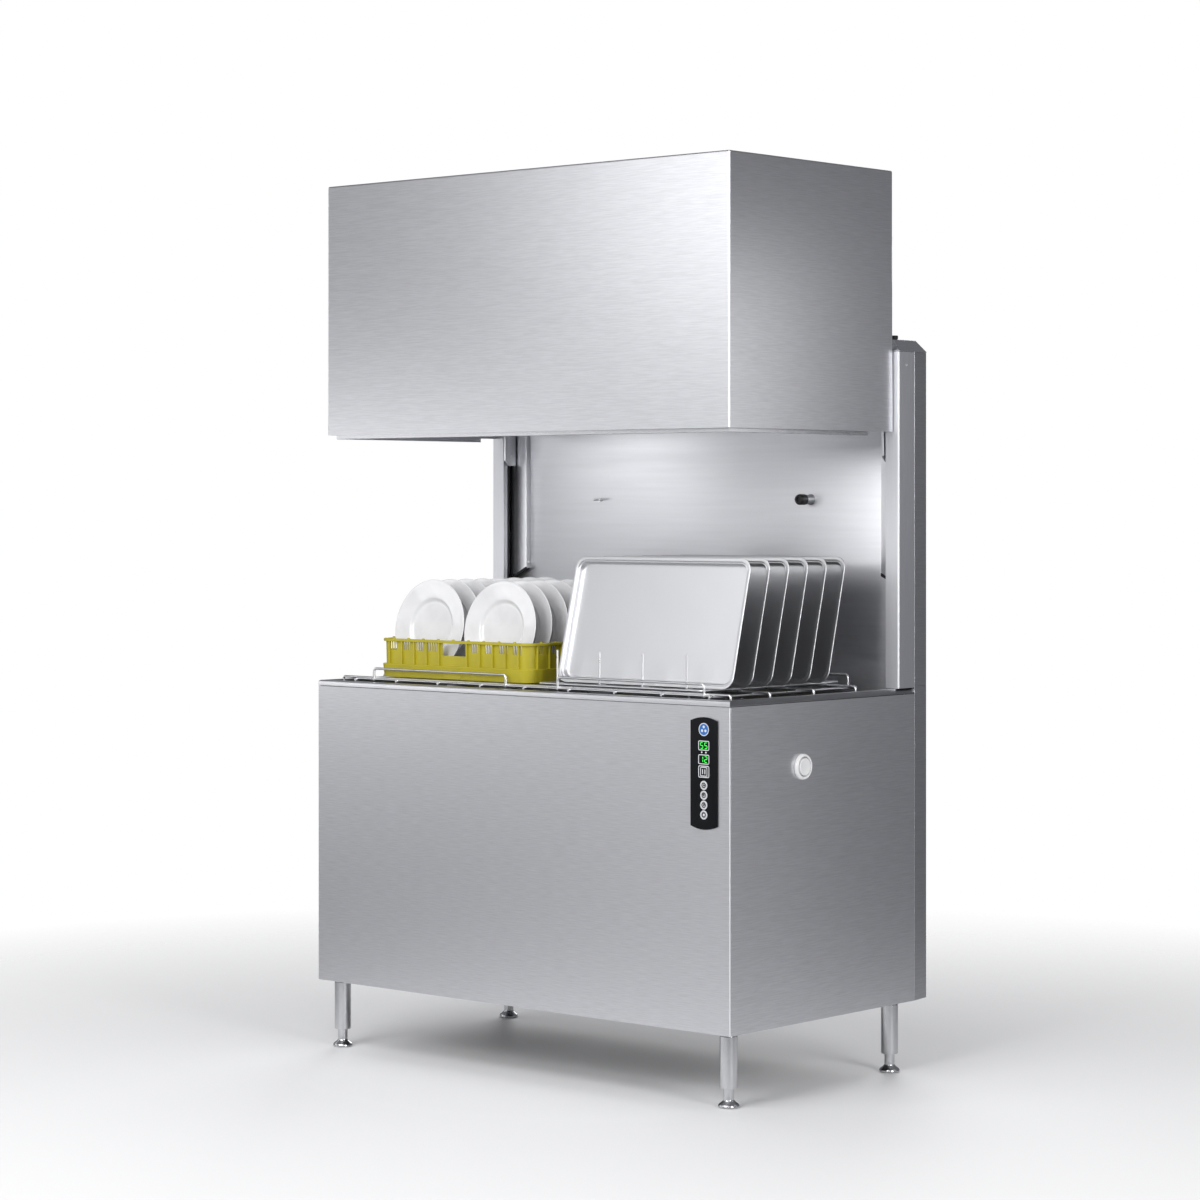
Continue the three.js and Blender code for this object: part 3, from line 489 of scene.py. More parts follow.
FINE = 0.01 * MM  # pebble depth of smooth plastics
STEEL = (0.715, 0.72, 0.745)
look = {
    "brushed": brushed("brushed_steel", STEEL),
    # lighter copy of the steel for columns, guards and brackets: painted light
    "column": brushed("column_steel_painted_light", shaded(STEEL, 1.2), 0.32, UPRIGHT_BRUSH),
    # darker copy of the steel for the rear covers: painted shade on their back-turned facets
    "cover": brushed("cover_steel_painted_shade", shaded(STEEL, 0.78)),
    "guide": brushed("guide_aluminium", shaded(STEEL, 0.95), 0.42, UPRIGHT_BRUSH),
    # lighter copy of the steel for the back wall: painted light under the hood
    "wall": brushed("wall_steel_painted_light", shaded(STEEL, 1.25), 0.36, (5, 5, 130), 0.02),
    # lighter, rougher copy of the steel for upright folds: painted highlight along the edges
    "fold": brushed("fold_painted_highlight", shaded(STEEL, 1.3), 0.62, UPRIGHT_BRUSH, 0.02),
    # lighter copy of the steel for the columns' front and rear faces: painted light over their shade
    "post": brushed("post_steel_painted_light", shaded(STEEL, 1.25), 0.55, UPRIGHT_BRUSH, 0.03),
    # darker copy of the steel for the sloping side bars of the deck lip: painted shade
    "side_lip": brushed("side_lip_painted_shade_steel", shaded(STEEL, 0.5), 0.3),
    "top": brushed("lip_steel", STEEL, 0.27, (22, 22, 1500), 0.03),
    # very dark steel for the tank, strainer, basins and boiler: painted shade inside the machine
    "tank": plain_metal("tank_steel_painted_shade", (0.15, 0.152, 0.16), 0.33),
    "spray": plain_metal("spray_steel", (0.6, 0.605, 0.62), 0.24),
    "tray": plain_metal("tray_steel", (0.68, 0.685, 0.7), 0.42, 0.01, 0.004),
    "wire": plain_metal("polished_wire", (0.85, 0.855, 0.87), 0.3, 0.03),
    "frame": moulded("grey_enamel", (0.36, 0.37, 0.39), 0.45),
    "foot": plain_metal("foot_steel", (0.6, 0.605, 0.62), 0.22),
    "cast": plain_metal("cast_grey", (0.42, 0.425, 0.44), 0.48, 0.1),
    "black": moulded("slide_black", (0.012, 0.012, 0.014), 0.38),
    "rubber": moulded("black_rubber", (0.012, 0.012, 0.012), 0.7),
    "panel": moulded("panel_charcoal", (0.006, 0.0065, 0.008), 0.45, 900, FINE, Specular_IOR_Level=0.1),
    "key": moulded("key_grey", (0.06, 0.063, 0.07), 0.35),
    "print": moulded("printed_white", (0.72, 0.73, 0.75), 0.4),
    "badge": moulded("badge_blue", (0.015, 0.14, 0.45), 0.3),
    "segment": lit("lit_green", (0.03, 0.62, 0.05), 1.3),
    "button": moulded("button_white", (0.93, 0.93, 0.93), 0.22, 400, FINE, Coat_Weight=0.6),
    "rack": moulded("rack_olive", (0.43, 0.37, 0.02), 0.4, 700, 0.04 * MM),
    "china": moulded(
        "glazed_china", (0.74, 0.74, 0.755), 0.15, 30, FINE, Coat_Weight=0.5, Coat_Roughness=0.05),
}


def screw(name, at, turn, body, radius=5):
    """A pan-head screw with a driver recess on a light washer; radius in millimetres."""
    washer = [(0, 0), (radius * 1.35, 0), (radius * 1.35, 0.5), (radius, 0.8), (0, 0.8)]
    head = [(0, 0.8), (radius * 0.9, 0.8), (radius * 0.82, 1.7), (radius * 0.5, 2.1)]
    recess = [(radius * 0.42, 2.1), (radius * 0.34, 1.1), (0, 1.1)]
    made = Shape(lathe(washer, 24), lathe([*head, *recess], 24))
    piece(name, Shape().add(made, move(*at) @ turn), "wire", body)


# ---------- cabinet ----------
def front_and_sides():
    low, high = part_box("front_panel")
    turned_in = low.y + FOLD + SEAM
    path = [(low.x, turned_in), (low.x, low.y), (high.x, low.y), (high.x, turned_in)]
    sheet = Shape(ribbon(rounded(path, FOLD), low.z, high.z))
    paint_fold_highlights(piece("front_sheet", sheet, "brushed", "cabinet", ["front_panel"], SHEET, 0.6 * MM))
    for name, side in SIDES.items():
        node = f"side_panel_{name}"
        side_low, side_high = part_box(node)
        _, x = inner_outer(side_low, side_high, side)
        path = [(x, turned_in + SEAM), (x, side_high.y)]
        sheet = Shape(ribbon(path if side > 0 else path[::-1], side_low.z, high.z))
        piece(f"side_sheet_{name}", sheet, "brushed", "cabinet", [node], SHEET, 0.6 * MM)


def deck_lip():
    """A folded lip round the deck: upright at the front and rear, sloping at the sides, whose bars take a
    darker steel as painted shade.
    """
    low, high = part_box("deck_frame")
    top, foot = high.z, low.z + 0.8 * MM
    slope_foot = low.z + 3 * MM
    widths = (24 * MM, 24 * MM, 24 * MM, 5.5 * MM)
    inner = [(0.94, top - 0.4 * MM), (1, top - 1.6 * MM), (1, low.z), (0.92, low.z), (0.92, top - 2.5 * MM)]
    upright = [
        (0, foot), (0, top - 6 * MM), (0.04, top - 2.6 * MM), (0.12, top - 0.8 * MM), (0.24, top),
        *inner, (0.22, top - 2 * MM), (0.07, top - 6 * MM), (0.07, foot),
    ]
    sloping = [
        (0, foot), (0, slope_foot), (0.3, top - 1.2 * MM), (0.36, top),
        *inner, (0.38, top - 2 * MM), (0.07, slope_foot), (0.07, foot),
    ]
    corners = (low.x, low.y), (high.x, high.y)
    made = mitred_bars(upright, *corners, widths, (0, 2))
    piece("deck_lip_front_rear", made, "brushed", "cabinet", ["deck_frame"], angle=25)
    # the sloping side bars in darker steel: painted shade
    made = mitred_bars(sloping, *corners, widths, (1, 3))
    piece("deck_lip_sides", made, "side_lip", "cabinet", angle=25)


def louvres(x, y, z):
    """Cutters for three columns of seven level slots with round ends, deep along Y."""
    slot = extruded(round_rectangle(78 * MM, 6 * MM, 2.94 * MM, 4), -15 * MM, 15 * MM)
    made = Shape()
    for column in (-92 * MM, 0, 92 * MM):
        for row in range(-3, 4):
            made.add(slot, move(x + column, y, z + row * 14 * MM) @ TURN_TO_FRONT)
    return made


def rear_covers():
    inset = 10 * MM
    for name, fields, overlap in (
        ("lower", ((-0.36, 0.34), (0.36, 0.34)), 0),
        ("upper", ((0, 1.52),), 2.6 * MM),
    ):
        node = f"rear_cover_{name}"
        low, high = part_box(node)
        path = [(high.x, low.y), (high.x - inset, high.y), (low.x + inset, high.y), (low.x, low.y)]
        sheet = Shape(ribbon(rounded(path, 4 * MM), low.z - overlap, high.z))
        made = piece(f"{node}_sheet", sheet, "cover", "cabinet", [node], SHEET)
        cut(made, Shape(*[louvres(x, high.y, z) for x, z in fields]))
        bevel(made, 0.5 * MM, 2)
        corners = [(x, z) for x in (-0.58, 0, 0.58) for z in (low.z + 20 * MM, high.z - 20 * MM)]
        for i, (x, z) in enumerate(corners):
            screw(f"{node}_screw_{i + 1}", (x, high.y - 2.2 * MM, z), TURN_TO_REAR, "cabinet")


def columns():
    """Rear columns with painted highlights on their folds, and front and rear faces in a lighter, satin steel
    that paints light over their shade.
    """
    for name, side in SIDES.items():
        node = f"column_{name}"
        low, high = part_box(node)
        inner, outer = inner_outer(low, high, side)
        route = rounded([(inner, low.y), (outer, low.y), (outer, high.y)], FOLD)
        skin = Shape(ribbon(route if side > 0 else route[::-1], low.z, high.z))
        made = piece(f"column_skin_{name}", skin, "column", "cabinet", [node], SHEET, 0.5 * MM)
        paint_fold_highlights(made)
        # faces towards the front and rear take the lighter post steel: painted light over the shade the load
        # casts
        made.data.materials.append(look["post"])
        for face in made.data.polygons:
            if abs(face.normal.y) > 0.98:
                face.material_index = 2
        at = (outer - side * 1.9 * MM, low.y + 31 * MM, high.z - 31 * MM)
        screw(f"column_screw_{name}", at, turn_sideways(side), "cabinet")
        hipped_cap(name, side)


def hipped_cap(name, side):
    """The column's folded roof, with a black plug in its front corner."""
    node = f"column_cap_{name}"
    low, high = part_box(node)
    inner, outer = inner_outer(low, high, side)
    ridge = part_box(f"column_{name}")[1].y
    crest = high.z - 10 * MM
    front, rear = low.y + 15 * MM, high.y - 23 * MM
    hip = outer - side * 22 * MM
    base = [(inner, low.y), (outer, low.y), (outer, ridge), (outer - side * 10 * MM, high.y), (inner, high.y)]
    top = [(inner, front), (hip, front), (hip, ridge - 13 * MM), (hip - side * 3 * MM, rear), (inner, rear)]
    levels = []
    for outline, z in ((base, low.z), (base, low.z + 2.5 * MM), (top, crest)):
        levels.append([(x, y, z) for x, y in outline[::side]])
    roof = Shape(rings(levels, first=True))
    piece(f"cap_roof_{name}", roof, "top", "cabinet", [node], edge=0.9 * MM)
    plug = lathe([(0, -3), (6.4, -3), (6.4, 1), (8, 1.5), (8, 8), (7.2, 9.4), (0, 10)], 24)
    shape = Shape().add(plug, move(outer - side * 30 * MM, low.y + 25 * MM, crest))
    piece(f"cap_plug_{name}", shape, "rubber", "cabinet")


def grooved(y0, y1, x0, x1, count, depth):
    """A plan outline whose face towards x0 carries upright grooves."""
    step = (y1 - y0) / (2 * count + 1)
    outline = [(x1, y1), (x1, y0)]
    for k in range(2 * count + 1):
        x = x0 if k % 2 == 0 else x0 + depth
        outline += [(x, y0 + k * step), (x, y0 + (k + 1) * step)]
    return outline


def rails():
    """Guide strip and black slide of each hood rail, either side of the slot for the hood's tongue."""
    guide_width, slot_front, slot_rear = 12 * MM, 19.7 * MM, 33.7 * MM
    for name, side in SIDES.items():
        node = f"rail_{name}"
        low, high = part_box(node)
        inner, outer = inner_outer(low, high, side)

        def bar(y0, y1, count):
            return extruded(grooved(y0, y1, inner, outer, count, side * 1.6 * MM), low.z, high.z)

        guide = Shape(bar(low.y, low.y + guide_width, 1))
        piece(f"rail_guide_{name}", guide, "guide", "cabinet", edge=0.3 * MM)
        front, rear = low.y + slot_front, low.y + slot_rear
        slide = Shape(bar(low.y + guide_width + SEAM, front, 1), bar(rear, high.y, 2))
        x0, x1 = sorted((inner + side * 0.5 * MM, outer))
        for z in (low.z, high.z - 8 * MM):
            slide.add(block((x0, front + HAIR, z), (x1, rear - HAIR, z + 8 * MM)))
        piece(f"rail_slide_{name}", slide, "black", "cabinet", [node], edge=0.3 * MM)


def splash_guards():
    """Folded strips beside the rails, their lower ends cut on a slope and edged with rubber."""
    seal_section = (-1.5, -4), (3.5, -4), (3.5, 4), (-1.5, 4)
    for name, side in SIDES.items():
        node = f"splash_guard_{name}"
        low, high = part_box(node)
        inner, outer = inner_outer(low, high, side)
        y = low.y
        corner_low = low.z + (high.x - low.x) / 2
        bend = [(inner, y + FOLD), (inner, y), (inner + side * FOLD, y)]
        path = [(inner, high.y), bend[0], *rounded(bend, FOLD, 4)[1:-1], bend[2], (outer, y)]
        points = []
        for x, at_y in path:
            foot = corner_low if abs(x - inner) < FOLD else low.z
            points += [(x, at_y, foot), (x, at_y, high.z)]
        points[-4] = (*bend[2], corner_low - FOLD)
        faces = ribbon_faces(len(path))
        if side < 0:
            faces = [face[::-1] for face in faces]
        skin = Shape((points, faces))
        piece(f"guard_skin_{name}", skin, "column", "cabinet", [node], SHEET, 0.4 * MM)
        levels = []
        for x, z in ((inner, corner_low), (outer, low.z)):
            levels.append([(x, y + dy * MM, z + dz * MM) for dy, dz in seal_section])
        seal = Shape(rings(levels, first=True))
        piece(f"guard_seal_{name}", seal, "rubber", "cabinet", edge=1.2 * MM)
        at = (inner + side * 0.3 * MM, y + 8 * MM, corner_low + 14 * MM)
        screw(f"guard_screw_{name}", at, turn_sideways(-side), "cabinet", 3.6)


def peg_and_probe():
    """The feed peg with its black cap, and a thermostat probe through the wall at the same height."""
    low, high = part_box("feed_peg")
    x, _, z = middle("feed_peg")
    radius, length = (high.x - low.x) / 2 / MM, (high.y - low.y) / MM
    cap_length = 24
    stub_length = length - cap_length
    neck, collar = 11.4, stub_length - 3
    stub = [
        (0, 0), (neck, 0), (neck, collar), (radius, collar + 0.6), (radius, stub_length), (0, stub_length),
    ]
    shape = Shape().add(lathe(stub), move(x, low.y + cap_length * MM, z) @ TURN_TO_REAR)
    piece("peg_stub", shape, "cast", "cabinet", ["feed_peg"], edge=0.4 * MM, slot="wire")
    cap = [
        (0, 4), (radius * 0.4, 4), (radius * 0.46, 0.6), (radius * 0.66, 0), (radius * 0.84, 0.8),
        (radius * 0.96, 3.4), (radius, 7), (radius, cap_length - 1), (radius * 0.96, cap_length + 0.5),
        (0, cap_length + 0.5),
    ]
    shape = Shape().add(lathe(cap), move(x, low.y, z) @ TURN_TO_REAR)
    piece("peg_cap", shape, "black", "cabinet")
    rod = lathe([(0, 0), (2.2, 0.4), (2.6, 2), (2.6, 30), (0, 30)], 20)
    nut = extruded(round_rectangle(9 * MM, 9 * MM, 2 * MM, 3), 22 * MM, 27.8 * MM)
    place = move(-0.326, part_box("back_wall")[0].y - 28 * MM, z) @ TURN_TO_REAR
    piece("tank_probe", Shape().add(Shape(rod, nut), place), "wire", "cabinet", edge=0.4 * MM)


# ---------- rack track and its load ----------
WIRE = 3 * MM
BEND = 9 * MM
RUNNER = 0.908  # height of the wires that the racks slide on
FENCES = ((-0.501, -0.063), (0.101, 0.540))


def rack_track():
    """Runners across the tank, cross wires under them and a fence hoop before and behind each rack."""
    low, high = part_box("rack_track")
    end = high.x - WIRE
    foot, rail, cross = low.z + 2 * MM, high.z - WIRE, RUNNER - 2 * WIRE
    made = Shape()
    for distance in (50, 190, 350, 508):
        y = from_front(distance)
        route = [(-end, y, foot), (-end, y, RUNNER), (end, y, RUNNER), (end, y, foot)]
        made.add(tube(rounded(route, BEND), WIRE, 14))
    for k in range(9):
        x = -0.56 + 0.14 * k
        made.add(tube([(x, from_front(38), cross), (x, from_front(580), cross)], WIRE, 12))
    for distance in (45, 574):
        y = from_front(distance)
        made.add(tube([(-0.56, y, RUNNER - WIRE), (0.56, y, RUNNER - WIRE)], WIRE, 12))
        for x0, x1 in FENCES:
            hoop = [(x0, y, cross), (x0, y, rail), (x1, y, rail), (x1, y, cross)]
            made.add(tube(rounded(hoop, BEND, 6), WIRE, 14))
    piece("track_wires", made, "wire", "cabinet", ["rack_track"], angle=60)


def tray_insert():
    """A wire frame with rows of pins that keep the trays apart."""
    low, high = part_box("tray_insert")
    z, tip = low.z + WIRE, high.z - 1.5 * MM
    x0, x1 = low.x + WIRE, high.x - WIRE
    y0, y1 = low.y + WIRE, high.y - WIRE
    loop = rounded([(x0, y0, z), (x1, y0, z), (x1, y1, z), (x0, y1, z)], 14 * MM, 5, closed=True)
    made = Shape(tube([*loop, loop[0]], WIRE, 12))
    pins = [0.083 + 0.13 * k for k in range(4)]
    for x in pins:
        made.add(tube([(x, y0, z), (x, y1, z)], WIRE, 10))
    for row in range(7):
        y = from_front(64 + 70 * row)
        made.add(tube([(pins[0], y, z), (pins[-1], y, z)], 2.4 * MM, 10))
        for x in pins:
            made.add(tube([(x, y, z), (x, y, tip)], 2.2 * MM, 10))
            made.add(lathe([(2.2, 0), (1.7, 1), (0, 1.5)], 10), move(x, y, tip))
    piece("insert_wires", made, "wire", "loaded_tray_rack", ["tray_insert"], angle=60)


def tray_mesh():
    """A steel pan lying face up: rolled rim, pressed groove, steep sides and rounded floor."""
    width, height, corner = 525, 300, 28
    steps = [
        (0.8, -2.2), (0, -1.4), (0.2, -0.5), (1.0, 0), (7, -0.2), (7.8, -1.0), (8.4, -4.6), (9, -5.2),
        (10.4, -5.2), (11, -4.4), (11.5, -4.6), (12.4, -13.8), (13.2, -15.8), (15, -17.1), (18, -17.5),
        (23, -17.6),
    ]
    levels = []
    for inset, depth in steps:
        radius = max(corner - inset * 0.5, 10)
        outline = round_rectangle(width - 2 * inset, height - 2 * inset, radius, 8)
        levels.append([Vector((x, y, depth)) * MM for x, y in outline])
    return to_mesh("tray", Shape(rings(levels)), closed=False)


def trays():
    """Each tray leans on the pins behind it, open towards the front."""
    lean = math.radians(14)
    reach = 150 * MM
    mesh = tray_mesh()
    for k in range(6):
        node = f"tray_{k + 1}"
        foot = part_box(node)[0].z + 0.4 * MM
        at = middle(node).x, from_front(84 + 70 * k) + math.sin(lean) * reach, foot + math.cos(lean) * reach
        made = piece(f"{node}_pan", mesh, "tray", "loaded_tray_rack", [node], 0.8 * MM, angle=50)
        settle(made, move(*at) @ Matrix.Rotation(math.pi / 2 - lean, 4, "X"), "loaded_tray_rack")


def plate_mesh():
    """A dinner plate lying face up, its rim in the plane z = 0: well, shoulder, wide rim and foot ring."""
    face = [
        (0, -13.2), (58, -13.2), (63, -12.6), (66.5, -11), (69.5, -8), (73, -6.2), (90, -4.2), (106, -1.2),
        (112, -0.2), (114.2, 0),
    ]
    back = [
        (115, -0.9), (114.4, -2.4), (110, -3.6), (92, -7.6), (76, -10.4), (68.5, -14.2), (66, -16.6),
        (63.5, -17), (61.5, -16.6), (60, -15.6), (0, -15.6),
    ]
    return to_mesh("plate", Shape(lathe(face + back, 72)))


def plates():
    """Two rows of eight plates that lean back on the rack's pegs, their faces to the front."""
    lean = Matrix.Rotation(-math.radians(9), 4, "X")
    stand = lean @ move(0, -17 * MM, 115 * MM) @ TURN_TO_FRONT
    foot = 0.9187  # height of their lower rims
    rows = -0.365, -0.132
    mesh = plate_mesh()
    made = []
    for row, x in enumerate(rows):
        for k in range(8):
            made.append(piece(f"plate_{row + 1}_{k + 1}", mesh, "china", "loaded_dish_rack", angle=60))
            settle(made[-1], move(x, from_front(96 + 57 * k), foot) @ stand, "loaded_dish_rack")
    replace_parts(made[0], "plates")


RACK = 486 * MM  # side of the square dish rack
RACK_CORNER = 25 * MM
RACK_STRAIGHT = RACK / 2 - RACK_CORNER
RACK_QUARTER = 2 * RACK_STRAIGHT + RACK_CORNER * math.pi / 2


def rack_side(u):
    """Which side of the rack u lies on, counted from the front."""
    return math.floor((u + RACK_STRAIGHT) / RACK_QUARTER)


def rack_point(u, z, offset):
    """A point on the rack's rounded square: u runs anticlockwise from the middle of the front side."""
    side = rack_side(u)
    along = u - side * RACK_QUARTER
    if along <= RACK_STRAIGHT:
        x, y = along, -RACK / 2 - offset
    else:
        angle = (along - RACK_STRAIGHT) / RACK_CORNER - math.pi / 2
        x = RACK_STRAIGHT + (RACK_CORNER + offset) * math.cos(angle)
        y = -RACK_STRAIGHT + (RACK_CORNER + offset) * math.sin(angle)
    turn = side * math.pi / 2
    return x * math.cos(turn) - y * math.sin(turn), x * math.sin(turn) + y * math.cos(turn), z


def dish_rack():
    """A wall with slots and a hand hold on each side, closed by a rim and a skirt, with ribs and a floor."""
    low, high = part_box("dish_rack")
    center = move((low.x + high.x) / 2, (low.y + high.y) / 2, 0)
    skirt_top, rim_low = 0.944, high.z - 9 * MM
    window_low, hand_low = 0.978, 0.968
    bay, slot, web = 45 * MM, 5 * MM, 2.8 * MM
    openings = [(-38 * MM, 38 * MM, hand_low)]
    for group in (-4.6, -3.6, -2.6, -1.6, 1.6, 2.6, 3.6, 4.6):
        for k in (-1.5, -0.5, 0.5, 1.5):
            at = group * bay + k * (slot + web)
            openings.append((at - slot / 2, at + slot / 2, window_low))
    breaks = {-RACK_STRAIGHT, RACK_STRAIGHT}
    for start, end, _ in openings:
        breaks |= {start, end}
    arc = [RACK_STRAIGHT + RACK_CORNER * math.pi / 2 * k / 6 for k in range(1, 6)]
    last = 4 * RACK_QUARTER - RACK_STRAIGHT
    us = [u + side * RACK_QUARTER for side in range(4) for u in sorted(breaks) + arc] + [last]

    def wall(u, z):
        along = u - rack_side(u) * RACK_QUARTER
        return not any(start < along < end and z > base for start, end, base in openings)

    def skin(u, z):
        flare = 2 * MM * (z - low.z) / (high.z - low.z)
        return rack_point(min(u, last - 1e-9), z, flare - 2.5 * MM)

    made = Shape().add(pierced(us, [skirt_top - 2 * MM, hand_low, window_low, rim_low], wall, skin), center)
    made = piece("rack_wall", made, "rack", "loaded_dish_rack", ["dish_rack"], 1.8 * MM, angle=50)
    bevel(made, 0.4 * MM, 2)
    ring = [side * RACK_QUARTER + u for side in range(4) for u in [-RACK_STRAIGHT, 0, RACK_STRAIGHT, *arc]]

    def band(name, base, profile):
        """A closed ring of the rack: profile holds millimetres out from the wall and up from base."""
        levels = [[rack_point(u, base + up * MM, out * MM) for out, up in profile] for u in ring]
        shape = Shape().add(rings(levels, last=False, loop=True), center)
        piece(name, shape, "rack", "loaded_dish_rack", edge=0.7 * MM)

    band("rack_rim", high.z, [(-4, -9.5), (5, -9.5), (5.4, -4), (3.6, -2.6), (-4, -2.6)])
    foot = (low.z - skirt_top) / MM + 0.2
    skirt = [(3.4, foot), (6.8, -1), (6, 0), (-2.6, 0), (-2.6, -3), (3, -4), (0.2, foot)]
    band("rack_skirt", skirt_top, skirt)
    rack_ribs(center, low.z, skirt_top, rim_low, high.z, bay)
    rack_floor(center, low.z)


def rack_ribs(center, foot, skirt_top, rim_low, top, bay):
    """Ribs between the slots, studs on the rim and a raised panel low on each side."""
    made = Shape()
    face = -RACK / 2
    stud = lathe([(0, -0.5), (3.6, -0.5), (3.4, 2), (2.4, 2.6), (0, 2.6)], 12)
    for side in range(4):
        turn = center @ Matrix.Rotation(side * math.pi / 2, 4, "Z")
        for place in (-5.1, -4.1, -3.1, -2.1, -1.1, 1.1, 2.1, 3.1, 4.1, 5.1):
            x = place * bay * 0.93
            rib_low = x - 1.6 * MM, face - 4.4 * MM, skirt_top - 1 * MM
            made.add(block(rib_low, (x + 1.6 * MM, face + 2 * MM, rim_low)), turn)
        for place in range(-4, 5):
            made.add(stud, turn @ move(place * 50 * MM, face - 1 * MM, top - 2.6 * MM))
        panel_low = -28 * MM, face - 5.6 * MM, foot + 1 * MM
        made.add(block(panel_low, (28 * MM, face - 3.2 * MM, foot + 12 * MM)), turn)
    piece("rack_ribs", made, "rack", "loaded_dish_rack", edge=0.4 * MM)


def rack_floor(center, foot):
    """Open floor grid and the peg rows that hold the plates."""
    made = Shape()
    reach = RACK / 2 - 3 * MM
    half = 1.6 * MM
    for k in range(-6, 7):
        at = k * 36 * MM
        made.add(block((at - half, -reach, foot + 0.4 * MM), (at + half, reach, foot + 5.4 * MM)), center)
        made.add(block((-reach, at - half, foot + 0.8 * MM), (reach, at + half, foot + 4.8 * MM)), center)
    peg = lathe([(0, 0), (3.4, 0), (2.2, 46), (1.2, 49), (0, 50)], 10)
    for x in (-0.155, -0.075, 0.078, 0.158):
        for k in range(9):
            made.add(peg, center @ move(x, -RACK / 2 + (20 + 54 * k) * MM, foot + 4 * MM))
    piece("rack_floor", made, "rack", "loaded_dish_rack")


# ---------- hood ----------
def hood():
    """A shell open at the bottom and low at the rear, with laps beside the rear opening and a drip band."""
    low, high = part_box("hood")
    bottom, back_low = low.z + 10 * MM, 1.955
    (x0, y0, _), (x1, y1, z1) = low, high
    points = [(x, y, z) for z in (bottom, z1) for x, y in ((x0, y0), (x1, y0), (x1, y1), (x0, y1))]
    points += [(x1, y1, back_low), (x0, y1, back_low)]
    faces = [[0, 1, 5, 4], [1, 2, 8, 6, 5], [8, 9, 7, 6], [3, 0, 4, 7, 9], [4, 5, 6, 7]]
    shell = piece("hood_shell", Shape((points, faces)), "brushed", "hood", ["hood"])
    bevel(shell, FOLD, 4)
    bake(shell)
    paint_fold_highlights(shell)
    thicken(shell, SHEET)
    made = Shape()
    for side in SIDES.values():
        ends = sorted((side * (x1 - SHEET), side * (x1 - 18 * MM)))
        made.add(block((ends[0], y1 - SHEET, bottom), (ends[1], y1, back_low)))
    piece("hood_rear_laps", made, "brushed", "hood", edge=0.5 * MM)
    drip_band(x0, y0, x1, y1 - 62 * MM, low.z, bottom)


def drip_band(x0, y0, x1, y1, foot, bottom):
    """A set-in band under the hood's front and sides, open at the rear."""
    inset = 17 * MM
    width = inset + 3 * MM
    front = (inset - 1.5 * MM) / width
    back, groove = front + 0.14, front + 0.06
    profile = [
        (0.1, bottom + 3.5 * MM), (front, bottom + 2.5 * MM), (front, foot + 1 * MM), (groove, foot),
        (1, foot), (1, foot + 1.5 * MM), (back, foot + 2 * MM), (back, bottom + 30 * MM),
        (groove, bottom + 30 * MM), (groove, bottom + 4.5 * MM), (0.1, bottom + 5 * MM),
    ]
    made = mitred_bars(profile, (x0, y0), (x1, y1), (width, width, width, inset))
    rear = y1 - 25 * MM
    made.faces = [face for face in made.faces if min(made.points[i].y for i in face) < rear]
    piece("hood_band", made, "top", "hood", angle=25)


def hood_brackets():
    """The hood's brackets on the rails, with a screw in each."""
    for name, side in SIDES.items():
        node = f"hood_bracket_{name}"
        dress(node, "column", 0.6 * MM)
        low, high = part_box(node)
        x, _ = inner_outer(low, high, side)
        at = (x + side * 0.2 * MM, high.y - 46 * MM, low.z + 25 * MM)
        screw(f"bracket_screw_{name}", at, turn_sideways(-side), "hood", 4)


def spray_arm(name, node, facing):
    """A flattened arm with raised nozzles, its hub on the post or pipe."""
    low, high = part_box(node)
    x, y, _ = middle(node)
    reach = (high.x - low.x) / 2
    z0, thick = low.z + 4 * MM, 16 * MM
    levels = []
    for share in (-1, -0.97, -0.85, -0.2, 0.2, 0.85, 0.97, 1):
        half_width = 16 * MM * (1 if abs(share) < 0.3 else 1.25 - 0.45 * abs(share))
        size = 0.75 if abs(share) == 1 else 1
        section = round_rectangle(2 * half_width * size, thick * size, 7 * MM * size, 4)
        levels.append([(x + share * reach, y + dy, z0 + thick / 2 + dz) for dy, dz in section])
    made = Shape(rings(levels, first=True))
    tall = (high.z - low.z) / MM
    hub = [(0, 0), (22, 0), (26, 3), (26, tall - 4), (20, tall), (0, tall)]
    made.add(lathe(hub, 32), move(x, y, low.z))
    nozzle = lathe([(0, -1), (5, -1), (3.4, 2.6), (2, 2.9), (1.2, 1.6), (0, 1.6)], 14)
    face, flip = (z0 + thick, UPRIGHT) if facing > 0 else (z0, Matrix.Rotation(math.pi, 4, "X"))
    for k in (-5, -4, -3, -2, 2, 3, 4, 5):
        made.add(nozzle, move(x + k * reach / 5.5, y + (k % 2 - 0.5) * 8 * MM, face) @ flip)
    piece(name, made, "spray", node, [node], edge=0.5 * MM)


